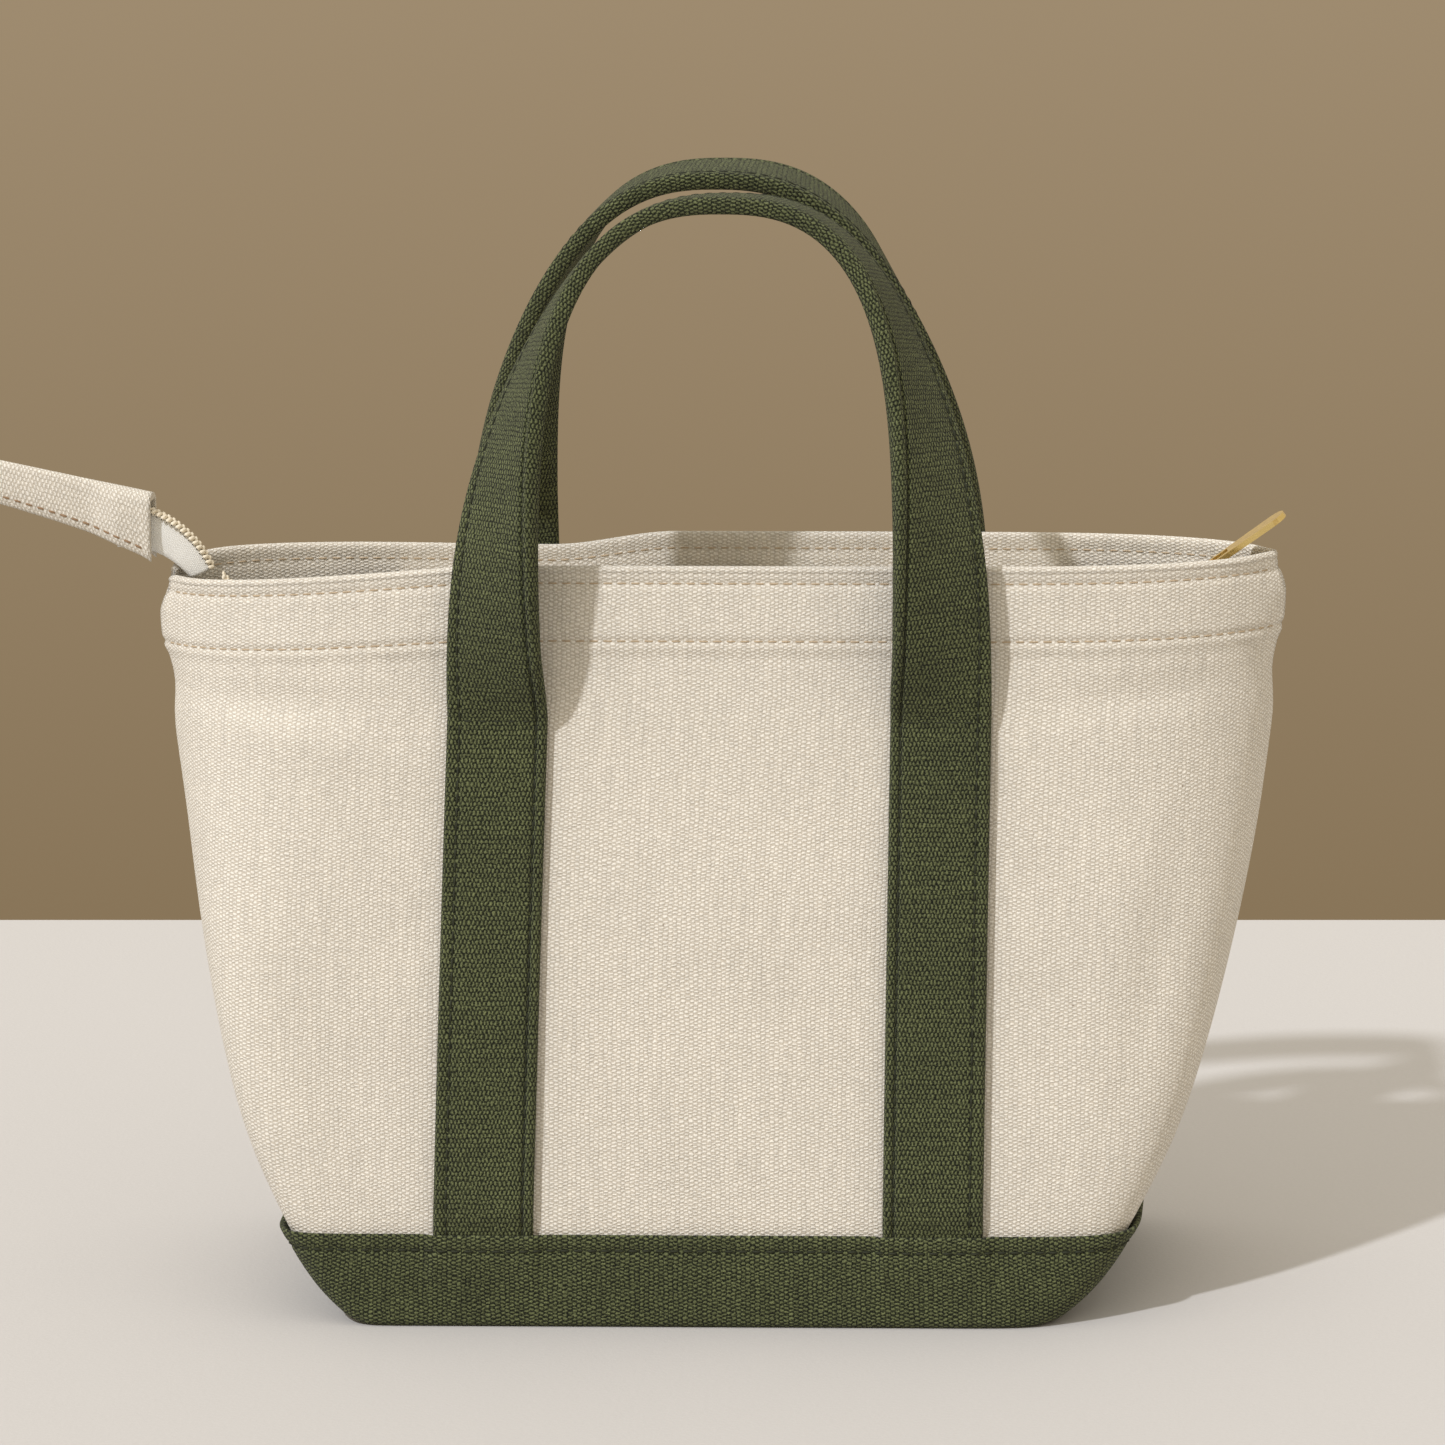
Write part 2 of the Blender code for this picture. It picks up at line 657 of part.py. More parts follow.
def end_tab(parent):
    """The folded canvas tab over the zip's end: a fold along the top, open for the zip at its
    right end and pressed flat beyond it."""
    rings = []
    for t in np.linspace(0.0, 1.0, 12):
        x = TAB_START + (TAB_END - TAB_START) * t
        top = tail_hinge()[2] + TAIL_RISE + 0.0024 + 0.0120 * t
        foot = tail_hinge()[2] + 0.0025 + 0.0195 * t**0.8
        mouth = max(0.0, 1.0 - t / 0.28)
        slot = 0.0004 + 0.0026 * min(1.0, mouth * 2.2)
        layer = 0.0013
        slot_top = top - layer
        corners = (
            (-slot - layer, foot),
            (-slot, foot),
            (-slot, slot_top),
            (slot, slot_top),
            (slot, foot),
            (slot + layer, foot),
            (slot + layer, top - 0.0008),
            (slot, top),
            (-slot, top),
            (-slot - layer, top - 0.0008),
        )
        rings.append([(x, y, z) for y, z in corners])
    mesh_data = bmesh.new()
    verts = [[mesh_data.verts.new(p) for p in ring] for ring in rings]
    for low, high in zip(verts[:-1], verts[1:]):
        count = len(low)
        for i in range(count):
            j = (i + 1) % count
            mesh_data.faces.new((low[i], low[j], high[j], high[i]))
    for ring in (verts[0], verts[-1]):
        for corners in ((0, 1, 2, 9), (9, 2, 8), (2, 3, 7, 8), (3, 6, 7), (3, 4, 5, 6)):
            mesh_data.faces.new([ring[k] for k in corners])
    add_object("zip_end_tab", "canvas", mesh_data, parent)


def build():
    clear_scene()
    for name, side in (("front", 1), ("back", -1)):
        body_panel(name + "_panel", side)
        for hand_name, hand in (("left", -1), ("right", 1)):
            sewn_strap(f"{name}_strap_{hand_name}", side, hand)
        handle_joint = joint_empty(
            name + "_handle_joint", (0.0, side * handle_hinge_y(), STRAP_TOP)
        )
        if side == 1:
            handle("front_handle", 1, FRONT_HANDLE_RISE, FRONT_TWIST_DELAY, 0.0, handle_joint)
        else:
            handle(
                "back_handle", -1, BACK_HANDLE_RISE, BACK_TWIST_DELAY, BACK_HANDLE_BULGE,
                handle_joint,
            )
        zip_facing(name + "_zip_facing", side)
        flap_joint = joint_empty(
            name + "_flap_joint", (0.0, -side * FLAP_HINGE_Y, ZIP_HEIGHT)
        )
        zip_strip(name + "_zip_strip", side, flap_joint)
        zip_tape(name + "_zip_tape", side, flap_joint)
        zip_coil(name + "_zip_coil", side, flap_joint)
    seam_binding("left_seam_binding", -1)
    seam_binding("right_seam_binding", 1)
    bottom_panel()
    base_cover()
    slider_joint = joint_empty("slider_joint", (SLIDER_X, 0.0, ZIP_HEIGHT))
    slider_body(slider_joint)
    slider_bail(slider_joint)
    pull_joint = joint_empty("pull_joint", (SLIDER_X, 0.0, PULL_HINGE_Z))
    pull_tab(pull_joint)
    tail_joint = joint_empty("tail_joint", tail_hinge())
    tail_tape("front_tail_tape", 1, tail_joint)
    tail_tape("back_tail_tape", -1, tail_joint)
    tail_coil(tail_joint)
    end_tab(tail_joint)


build()
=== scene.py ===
"""The look of a small zip-top canvas bag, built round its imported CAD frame.

X is the width, the front faces -Y and Z is up. Lengths are in metres.
"""

import math

import bmesh
import bpy
import numpy as np
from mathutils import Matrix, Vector

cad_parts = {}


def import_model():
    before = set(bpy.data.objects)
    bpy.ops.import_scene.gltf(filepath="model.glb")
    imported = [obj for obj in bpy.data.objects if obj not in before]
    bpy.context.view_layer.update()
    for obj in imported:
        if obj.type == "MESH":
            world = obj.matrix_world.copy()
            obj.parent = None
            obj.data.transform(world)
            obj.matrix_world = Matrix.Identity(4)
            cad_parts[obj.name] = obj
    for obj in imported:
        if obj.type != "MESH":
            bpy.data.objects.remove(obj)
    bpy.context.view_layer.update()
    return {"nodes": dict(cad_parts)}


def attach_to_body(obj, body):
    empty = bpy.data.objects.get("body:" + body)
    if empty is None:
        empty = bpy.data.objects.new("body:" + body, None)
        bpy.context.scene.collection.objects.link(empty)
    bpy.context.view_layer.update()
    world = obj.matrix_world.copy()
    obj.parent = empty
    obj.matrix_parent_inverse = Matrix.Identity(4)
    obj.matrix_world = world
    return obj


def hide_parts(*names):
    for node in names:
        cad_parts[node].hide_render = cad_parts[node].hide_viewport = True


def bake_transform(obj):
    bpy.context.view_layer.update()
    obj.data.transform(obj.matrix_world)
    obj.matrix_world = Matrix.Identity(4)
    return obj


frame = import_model()

# The bag's two sides, as the sign and the word that tell them apart
SIDES = ((1, "front"), (-1, "back"))

# Sizes of the bag, as in its CAD
HEIGHT = 0.188
RIM_HALF_WIDTH = 0.1415
RIM_HALF_DEPTH = 0.024
BASE_HALF_WIDTH = 0.0865
BASE_HALF_DEPTH = 0.052
FOOT_FLARE = 0.016
FOOT_FLARE_HEIGHT = 0.0135
SIDE_CURVE = 1.93
FRONT_DROP = 0.0073
FRONT_DROP_START = 0.059
BACK_DIP = 0.0035
BASE_SIDE_POWER = 14.0
LEFT_FOOT_POWER = 40.0
RIM_SIDE_POWER = 6.5
BASE_END_POWER = 0.06
CANVAS = 0.0014
GAP = 0.0003
SEAM_GAP = 0.00015
PANEL_FOOT = 0.0015

# Hem and base cover
HEM_FOOT = 0.1650
HEM_LIFT = 0.0007
HEM_STITCH_HEIGHTS = (HEIGHT - 0.0185, HEIGHT - 0.0043)
RIM_ROLL = 0.0012
RIM_STAND = 0.0008
RIM_TUCK = 0.0028
HEM_TUCK = 0.0016
COVER_HEIGHT = 0.0235
COVER_OFFSET = 0.0020
COVER_STITCH_HEIGHT = 0.0195
COVER_FOOT_ROUND = 0.0022
COVER_RISE = 0.0011
SEAM_TAPE_WIDTH = 0.0076

# Straps and handles
STRAP_WIDTH = 0.025
STRAP_THICKNESS = 0.0032
STRAP_PRESS = 0.0014
STRAP_CENTRE = 0.0549
STRAP_TOP = 0.151
HANDLE_THICKNESS = 0.0042
HANDLE_STAND = 0.0012
HANDLE_FOOT = 0.1513
HANDLE_RISE = {1: 0.1256, -1: 0.1294}
HANDLE_POWER = 2.57
HANDLE_TOP_Y = 0.0165
HANDLE_BOW = 0.0090
HANDLE_FOOT_TWIST = math.radians(12.0)
HANDLE_TOP_TWIST = math.radians(81.0)
HANDLE_TWIST_DELAY = {1: 1.43, -1: 1.25}
HANDLE_BULGE = {1: 0.0002, -1: 0.0012}
INNER_SEAM = 0.0098
OUTER_SEAM = -0.0092

# Zip
ZIP_HEIGHT = 0.177
FLAP_HALF_LENGTH = 0.092
FACING_HALF_LENGTH = 0.085
FLAP_HINGE_Y = 0.0155
STRIP_INNER_Y = 0.0036
TAPE_WIDTH = 0.0115
TOOTH_PITCH = 0.0014
COIL_WIDTH = 0.0026
ZIP_RIGHT_END = 0.1230
ZIP_LEFT_TURN = -0.1160
TAIL_HINGE_X = -0.1280
TAIL_HINGE_Z = 0.1822
TAIL_RISE = 0.0172
ZIP_END_BACK = 0.0018
TAIL_TAPE_DEPTH_START = 0.0056
TAIL_TAPE_DEPTH_END = 0.0110
TAB_START = -0.1435
TAB_END = -0.2000
TAB_LAYER = 0.0013

# Soft folds in the canvas: x, z, half length, half width, tilt in degrees, depth
FRONT_FOLDS = (
    (-0.113, 0.1555, 0.024, 0.0045, -4.0, -0.0016),
    (-0.100, 0.1470, 0.030, 0.0060, -16.0, 0.0009),
    (0.108, 0.1560, 0.022, 0.0042, 5.0, -0.0012),
    (0.112, 0.0900, 0.034, 0.0070, 78.0, -0.0014),
    (-0.092, 0.0600, 0.036, 0.0100, -72.0, -0.0010),
    (0.0, 0.1000, 0.034, 0.0400, 0.0, 0.0012),
)
BACK_FOLDS = (
    (-0.105, 0.1550, 0.022, 0.0045, 6.0, -0.0014),
    (0.112, 0.1550, 0.026, 0.0050, -5.0, -0.0014),
    (0.096, 0.0800, 0.034, 0.0080, -76.0, -0.0012),
    (-0.104, 0.0950, 0.030, 0.0080, 74.0, -0.0012),
    (0.0, 0.0950, 0.036, 0.0420, 0.0, 0.0011),
)

# The real bag is not quite true: its back leans to the right, and its straps sit off centre
SKEW = 0.08
STRAP_SHIFT = {1: 0.0024, -1: -0.0021}
LEFT_STRAP_LEAN = 0.0021
LEFT_SLIM = 0.0013
FOOT_SLIM = 0.0018

# How far threads stray from straight lines
WANDER = 0.00150

# Camera: where it looks, from which side and how far
VIEW_TARGET = (0.0, 0.0, 0.1432)
VIEW_AZIMUTH = math.radians(1.0)
VIEW_ELEVATION = math.radians(11.5)
VIEW_DISTANCE = 1.50
VIEW_LENS = 147.5
FLOOR_FAR_EDGE = 0.385

# The key light: how far it stands to the left of the front, and how high
KEY_AZIMUTH = math.radians(41.0)
KEY_ELEVATION = math.radians(45.0)


def smooth(t):
    """A smooth step from 0 to 1."""
    t = np.clip(t, 0.0, 1.0)
    return t * t * (3.0 - 2.0 * t)


def bell(distance, width):
    """A soft bump: 1 at no distance, fading away over a width."""
    return np.exp(-((distance / width) ** 2))


def half_width(z):
    """Half the bag's width at the side seams."""
    t = z / HEIGHT
    flare = FOOT_FLARE * (1.0 - math.exp(-z / FOOT_FLARE_HEIGHT))
    widening = RIM_HALF_WIDTH - FOOT_FLARE - BASE_HALF_WIDTH
    return BASE_HALF_WIDTH + flare + widening * (1.0 - (1.0 - t) ** SIDE_CURVE)


def half_depth(z):
    """Half the bag's depth at its middle."""
    t = z / HEIGHT
    return RIM_HALF_DEPTH + (BASE_HALF_DEPTH - RIM_HALF_DEPTH) * (1.0 - t**1.3)


def corner_drop(x, z, side=1):
    """How far the cloth sags towards the left rim corner. The front sags evenly from the strap
    on. The back dips behind the strap, and again close to the corner."""
    along = np.maximum(0.0, (-x - FRONT_DROP_START) / (RIM_HALF_WIDTH - FRONT_DROP_START))
    if side == 1:
        drop = FRONT_DROP * along
    else:
        dip = BACK_DIP * smooth((-x - 0.014) / 0.032) * (1.0 - 0.5 * along)
        drop = dip + (FRONT_DROP - 0.5 * BACK_DIP) * along**20
    return drop * (z / HEIGHT) ** 3


def lengths_along(points):
    """The distance of each point of a polyline from its first one."""
    steps = np.linalg.norm(np.diff(points, axis=0), axis=1)
    return np.concatenate([[0.0], np.cumsum(steps)])


def sample(places, along, values):
    """Rows of values that are known at some distances, read off at other distances."""
    columns = [np.interp(places, along, values[:, k]) for k in range(values.shape[1])]
    return np.stack(columns, axis=-1)


def resample(points, count):
    """The same polyline with points at equal steps along it."""
    along = lengths_along(points)
    return sample(np.linspace(0.0, along[-1], count), along, points)


def closing(ring):
    """A ring of points with its first point again at the end."""
    return np.concatenate([ring, ring[:1]])


def units(vectors):
    """The same vectors, each one unit long."""
    return vectors / np.linalg.norm(vectors, axis=-1, keepdims=True)


def outward_normals(points):
    """Unit normals of a front half-section that runs from the left seam to the right one."""
    tangents = np.gradient(points, axis=0)
    return units(np.stack([tangents[:, 1], -tangents[:, 0]], axis=1))


def front_section(z, offset=0.0, count=301):
    """The front half of the bag's outer skin at a height, moved outward, as (x, y)."""
    t = min(z, HEIGHT) / HEIGHT
    angle = np.linspace(-math.pi / 2, math.pi / 2, 2001)
    foot_power = np.where(angle < 0.0, LEFT_FOOT_POWER, BASE_SIDE_POWER)
    side_power = RIM_SIDE_POWER + (foot_power - RIM_SIDE_POWER) * (1.0 - t) ** 2
    end_power = BASE_END_POWER ** ((1.0 - t) ** 1.3)
    x = half_width(z) * np.sign(np.sin(angle)) * np.abs(np.sin(angle)) ** (2.0 / side_power)
    y = -half_depth(z) * np.abs(np.cos(angle)) ** (2.0 * end_power)
    points = resample(np.stack([x, y], axis=1), count)
    normals = outward_normals(points)
    points[:, 1] -= SEAM_GAP + CANVAS * abs(normals[0, 1])
    moved = points + normals * offset
    moved[:, 1] = np.minimum(moved[:, 1], -SEAM_GAP)
    return moved


def folds(x, z, marks):
    """How far soft folds push the cloth outward at a place."""
    push = np.zeros_like(x)
    for fold_x, fold_z, length, width, tilt, depth in marks:
        cosine = math.cos(math.radians(tilt))
        sine = math.sin(math.radians(tilt))
        along = (x - fold_x) * cosine + (z - fold_z) * sine
        across = (z - fold_z) * cosine - (x - fold_x) * sine
        push += depth * np.exp(-((along / length) ** 2) - (across / width) ** 2)
    return push


def skin_row(z, offset, side, count):
    """One row of a panel's cloth at a height, left to right, with its folds and seam creases."""
    points = resample(front_section(z, offset), count)
    normals = outward_normals(points)
    along = lengths_along(points)
    from_seam = np.minimum(along, along[-1] - along)
    marks = FRONT_FOLDS if side == 1 else BACK_FOLDS
    push = folds(points[:, 0], z, marks) * smooth(from_seam / 0.012)
    push -= 0.0007 * bell(from_seam, 0.0016) * smooth((0.16 - z) / 0.05)
    upright = max(0.0, (z - HEM_FOOT) / (HEIGHT - HEM_FOOT))
    push += RIM_STAND * upright * smooth(from_seam / 0.07)
    moved = points + normals * push[:, None]
    tuck = RIM_TUCK * smooth((z - 0.177) / 0.011)
    tuck += HEM_TUCK * bell(z - 0.159, 0.008)
    moved[:, 0] -= np.sign(moved[:, 0]) * tuck * bell(from_seam, 0.010)
    moved[:, 1] = np.minimum(moved[:, 1], -SEAM_GAP)
    height = z - corner_drop(moved[:, 0], z, side)
    return np.stack([moved[:, 0], side * moved[:, 1], height + 0 * moved[:, 0]], axis=1)


def skin_point(x, z, side, offset=0.0):
    """A point on a panel's cloth at one x and one height, moved outward by an offset."""
    row = skin_row(z, offset, side, 241)
    y = float(np.interp(x, row[:, 0], row[:, 1]))
    return np.array([x, y, z])


def slimming(points):
    """How far each side is drawn in, most of all the left one low down."""
    low = smooth((0.165 - points[:, 2]) / 0.05)
    foot = bell(points[:, 2] - 0.024, 0.018)
    left = smooth((-points[:, 0] - 0.070) / 0.035) * (LEFT_SLIM * low + FOOT_SLIM * foot)
    right = smooth((points[:, 0] - 0.070) / 0.035) * FOOT_SLIM * foot
    return left - right


def add_object(name, data):
    """A new object in the scene."""
    item = bpy.data.objects.new(name, data)
    bpy.context.collection.objects.link(item)
    return item


def finish_shape(shape, mesh):
    """Turns the faces of an edited shape outward and writes them to its mesh."""
    bmesh.ops.recalc_face_normals(shape, faces=shape.faces)
    shape.to_mesh(mesh)
    shape.free()


def finish_mesh(name, points, faces, loop_uvs, material):
    """A smooth-shaded object from points, faces and one texture place for each face corner."""
    mesh = bpy.data.meshes.new(name)
    points = np.array(points, float)
    points[:, 0] += SKEW * points[:, 1] + slimming(points)
    mesh.from_pydata(points.tolist(), [], np.asarray(faces).tolist())
    layer = mesh.uv_layers.new(name="cloth")
    layer.data.foreach_set("uv", np.asarray(loop_uvs, np.float32).ravel())
    mesh.materials.append(material)
    item = add_object(name, mesh)
    shape = bmesh.new()
    shape.from_mesh(mesh)
    finish_shape(shape, mesh)
    mesh.polygons.foreach_set("use_smooth", [True] * len(mesh.polygons))
    return item


def grid_object(name, rows, uvs, material, closed=False, thickness=0.0):
    """A surface over rows of points, as one sheet or, when closed, as a tube. A closed one has
    one more column of uvs than of points."""
    rows = np.asarray(rows)
    uvs = np.asarray(uvs)
    high, wide = rows.shape[:2]
    columns = wide if closed else wide - 1
    i, j = np.meshgrid(np.arange(high - 1), np.arange(columns), indexing="ij")
    k = (j + 1) % wide
    faces = np.stack([i * wide + j, i * wide + k, (i + 1) * wide + k, (i + 1) * wide + j], -1)
    corners = np.stack([uvs[i, j], uvs[i, j + 1], uvs[i + 1, j + 1], uvs[i + 1, j]], axis=-2)
    item = finish_mesh(
        name, rows.reshape(-1, 3), faces.reshape(-1, 4), corners.reshape(-1, 2), material
    )
    if thickness:
        thicken(item, thickness)
    return item


def thicken(item, thickness):
    """Gives a sheet its thickness, half of it to each side of its surface."""
    solid = item.modifiers.new("thickness", "SOLIDIFY")
    solid.thickness = thickness
    solid.offset = 0.0
    graph = bpy.context.evaluated_depsgraph_get()
    mesh = bpy.data.meshes.new_from_object(item.evaluated_get(graph))
    item.modifiers.clear()
    item.data = mesh


def ring_uvs(ring, v, start=0):
    """The texture places of a closed ring: the distance round it from one point, and v."""
    around = lengths_along(closing(ring))
    return np.stack([around - around[start], np.full(len(around), v)], axis=1)


def disc(name, ring, shares, material, thickness=0.0):
    """A flat piece inside a ring, made of smaller and smaller copies of the ring."""
    rings = [ring * np.array([share, share, 1.0]) for share in shares]
    uvs = [closing(inner)[:, :2] for inner in rings]
    return grid_object(name, rings, uvs, material, closed=True, thickness=thickness)


def attach(item, body, slot, *nodes):
    """The piece moves with a body and stands for some CAD nodes, whose parts are hidden. The
    slot is not used.
    """
    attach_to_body(item, body)
    if nodes:
        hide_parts(*nodes)


def cap_ends(item, rings):
    """Closes the two ends of a tube that was made from rings of points."""
    shape = bmesh.new()
    shape.from_mesh(item.data)
    shape.verts.ensure_lookup_table()
    count = len(rings[0])
    total = len(rings) * count
    shape.faces.new([shape.verts[i] for i in range(count)])
    shape.faces.new([shape.verts[i] for i in range(total - count, total)])
    finish_shape(shape, item.data)
    for polygon in item.data.polygons[-2:]:
        polygon.use_smooth = False


# Materials


class Graph:
    """A short way to write the nodes of a material or of the world."""

    def __init__(self, owner):
        self.owner = owner
        owner.use_nodes = True
        self.tree = owner.node_tree
        if isinstance(owner, bpy.types.World):
            self.tree.nodes.clear()
        self.solid = self.add("ShaderNodeTexCoord").outputs

    def add(self, kind, inputs=(), **settings):
        node = self.tree.nodes.new(kind)
        for name, value in settings.items():
            setattr(node, name, value)
        for key, value in dict(inputs).items():
            self.join(value, node.inputs[key])
        return node

    def join(self, value, socket):
        if isinstance(value, bpy.types.NodeSocket):
            self.tree.links.new(value, socket)
        else:
            socket.default_value = value

    def math(self, operation, *values):
        node = self.add("ShaderNodeMath", operation=operation)
        for socket, value in zip(node.inputs, values):
            self.join(value, socket)
        return node.outputs[0]

    def step(self, value, low, high, out_low=0.0, out_high=1.0):
        node = self.add("ShaderNodeMapRange", interpolation_type="SMOOTHSTEP")
        for socket, item in zip(node.inputs, (value, low, high, out_low, out_high)):
            self.join(item, socket)
        return node.outputs[0]

    def mix(self, factor, first, second, blend="MIX"):
        node = self.add("ShaderNodeMix", data_type="RGBA", blend_type=blend)
        self.join(factor, node.inputs[0])
        self.join(first, node.inputs[6])
        self.join(second, node.inputs[7])
        return node.outputs[2]

    def noise(self, place, scale, detail=2.0, stretch=(1.0, 1.0, 1.0)):
        moved = self.add("ShaderNodeMapping", {"Vector": place, "Scale": stretch})
        node = self.add(
            "ShaderNodeTexNoise",
            {"Vector": moved.outputs[0], "Scale": scale, "Detail": detail, "Roughness": 0.6},
        )
        return node.outputs[0]

    def bump(self, height, distance, strength=1.0, normal=None):
        inputs = {"Height": height, "Distance": distance, "Strength": strength}
        if normal is not None:
            inputs["Normal"] = normal
        return self.add("ShaderNodeBump", inputs).outputs[0]

    def surface(self, colour, normal, roughness, plain=()):
        """Feeds the shader, sets its plain numbers, and hands back the material."""
        sockets = self.tree.nodes["Principled BSDF"].inputs
        self.join(colour, sockets["Base Color"])
        self.join(normal, sockets["Normal"])
        self.join(roughness, sockets["Roughness"])
        for name, value in dict(plain).items():
            sockets[name].default_value = value
        return self.owner


def material_graph(name):
    """The nodes of a new material, and the place on the object that its patterns use."""
    graph = Graph(bpy.data.materials.new(name))
    return graph, graph.solid["Object"]


def cloth(
    name, light, dark, pitch, depth, turned=False, flecks=0.0, sheen=0.15, fade=0.08, fuzz=0.30
):
    """Plain-woven cloth in real sizes: columns of round warp bumps, each column half a step off
    its neighbours, with the weft just seen between them. Turned cloth has the bumps in rows.
    Pitch is the width of a column and half the distance from one bump to the next in it. The
    colour goes from dark in the gaps to light on the crowns: partly the yarn's own tone, partly
    painted shade in the gaps and a painted highlight on the crowns."""
    graph, solid = material_graph(name)
    place = graph.add("ShaderNodeUVMap", uv_map="cloth").outputs[0]
    split = graph.add("ShaderNodeSeparateXYZ", {0: place})
    wander_u = graph.math("SUBTRACT", graph.noise(place, 240.0, 3.0), 0.5)
    wander_v = graph.math("SUBTRACT", graph.noise(place, 290.0, 3.0, (1.0, 1.3, 1.0)), 0.5)
    u = graph.math("MULTIPLY_ADD", wander_u, WANDER, split.outputs[0])
    v = graph.math("MULTIPLY_ADD", wander_v, WANDER, split.outputs[1])
    if turned:
        u, v = v, u
    wave_u = graph.math("SINE", graph.math("MULTIPLY", u, math.pi / pitch[0]))
    wave_v = graph.math("SINE", graph.math("MULTIPLY", v, math.pi / pitch[1]))
    ridge = graph.math("POWER", graph.math("ABSOLUTE", wave_u), 0.30)
    turn = graph.math("MULTIPLY", graph.math("SIGN", wave_u), wave_v)
    crest = graph.math("POWER", graph.math("MULTIPLY_ADD", turn, 0.498, 0.5), 0.75)
    warp = graph.math("MULTIPLY", ridge, crest)
    weft = graph.math("MULTIPLY", graph.math("SUBTRACT", 1.0, crest), 0.35)
    height = graph.math("MAXIMUM", warp, weft)
    fibres = graph.noise(place, 1900.0, 3.0)
    slubs = (0.08, 1.0, 1.0) if turned else (1.0, 0.08, 1.0)
    along = graph.noise(place, 800.0, 1.0, slubs)
    blotch = graph.noise(place, 620.0, 2.0)
    tone = graph.math("MULTIPLY_ADD", along, 0.8, blotch)
    tone = graph.math("MULTIPLY_ADD", graph.noise(solid, 28.0, 3.0), 0.55, tone)
    tone = graph.math("MULTIPLY", graph.math("SUBTRACT", tone, 1.17), 2.0 * fade)
    rough_height = graph.math("MULTIPLY_ADD", graph.math("SUBTRACT", fibres, 0.5), fuzz, height)
    # Painted light: the crowns take the light colour as a painted highlight and the gaps take
    # the dark one as painted shade, on top of the yarn's own tone.
    crown_light_and_gap_shade = graph.step(rough_height, 0.16, 0.96)
    colour = graph.mix(crown_light_and_gap_shade, (*dark, 1.0), (*light, 1.0))
    shade = graph.math("ADD", 1.0, tone)
    grey = graph.add("ShaderNodeCombineColor", {0: shade, 1: shade, 2: shade}).outputs[0]
    colour = graph.mix(1.0, colour, grey, "MULTIPLY")
    if flecks:
        spots = graph.add(
            "ShaderNodeTexVoronoi", {"Vector": place, "Scale": 150.0, "Randomness": 1.0}
        )
        chosen = graph.math("GREATER_THAN", spots.outputs["Color"], 1.0 - flecks)
        near = graph.step(spots.outputs["Distance"], 0.020, 0.060, 1.0, 0.0)
        fleck = graph.math("MULTIPLY", graph.math("MULTIPLY", chosen, near), 0.55)
        colour = graph.mix(fleck, colour, (0.16, 0.09, 0.05, 1.0))
    normal = graph.bump(rough_height, depth, 1.0)
    soft = graph.bump(graph.noise(solid, 75.0, 2.0), 0.00055, 0.6, normal)
    plain = {"Specular IOR Level": 0.18, "Sheen Weight": sheen, "Sheen Roughness": 0.6}
    return graph.surface(colour, soft, 0.93, plain)


def thread(name, colour):
    """Twisted sewing thread."""
    graph, place = material_graph(name)
    tone = graph.noise(place, 900.0, 2.0)
    dark = tuple(0.62 * value for value in colour)
    twist = graph.bump(graph.noise(place, 2200.0), 0.0001)
    shade = graph.mix(tone, (*dark, 1.0), (*colour, 1.0))
    return graph.surface(shade, twist, 0.7, {"Specular IOR Level": 0.25})


def coil_plastic():
    """The moulded monofilament of the zip's coil."""
    graph, place = material_graph("coil_filament")
    tone = graph.noise(place, 300.0, 2.0)
    colour = graph.mix(tone, (0.70, 0.61, 0.46, 1.0), (0.84, 0.77, 0.63, 1.0))
    return graph.surface(colour, graph.bump(graph.noise(place, 1500.0), 0.00004), 0.42)


def brass():
    """Polished brass with fine rub marks."""
    graph, place = material_graph("polished_brass")
    rubs = graph.noise(place, 700.0, 3.0, (0.2, 1.0, 1.0))
    colour = graph.mix(rubs, (0.62, 0.45, 0.15, 1.0), (0.83, 0.66, 0.30, 1.0))
    roughness = graph.step(rubs, 0.3, 0.7, 0.20, 0.36)
    return graph.surface(colour, graph.bump(rubs, 0.00003), roughness, {"Metallic": 1.0})


def table_paper():
    """The pale matte surface that the bag stands on."""
    graph, place = material_graph("pale_surface")
    grain = graph.noise(place, 900.0, 3.0)
    colour = graph.mix(grain, (0.475, 0.46, 0.445, 1.0), (0.525, 0.51, 0.495, 1.0))
    return graph.surface(colour, graph.bump(grain, 0.00008), 0.85)


# Each cloth's light and dark colours are partly the yarn's own tone, partly a painted highlight
# for the thread crowns and painted shade for the gaps.
NATURAL = cloth(
    "natural_canvas",
    (0.775, 0.742, 0.672),
    (0.525, 0.475, 0.395),
    (0.00112, 0.00050),
    depth=0.00022,
    flecks=0.32,
    fade=0.14,
    fuzz=0.9,
)
# The near-black dark colour is painted shade between the threads. The light colour is partly the
# yarn's own heathered tone and partly a painted highlight.
GREEN_WEAVE = {
    "light": (0.135, 0.152, 0.066),
    "dark": (0.004, 0.006, 0.001),
    "depth": 0.00034,
    "sheen": 0.06,
    "fade": 0.50,
    "fuzz": 1.9,
}
GREEN = cloth("green_canvas", pitch=(0.00120, 0.00050), **GREEN_WEAVE)
GREEN_ACROSS = cloth(
    "green_webbing_canvas", pitch=(0.00118, 0.00050), turned=True, **GREEN_WEAVE
)
TAPE = cloth(
    "zip_tape_cloth",
    (0.80, 0.80, 0.77),
    (0.66, 0.65, 0.61),
    (0.00045, 0.00035),
    depth=0.00006,
    sheen=0.20,
    fade=0.03,
)
NATURAL_THREAD = thread("natural_thread", (0.56, 0.44, 0.30))
GREEN_THREAD = thread("green_thread", (0.030, 0.034, 0.018))
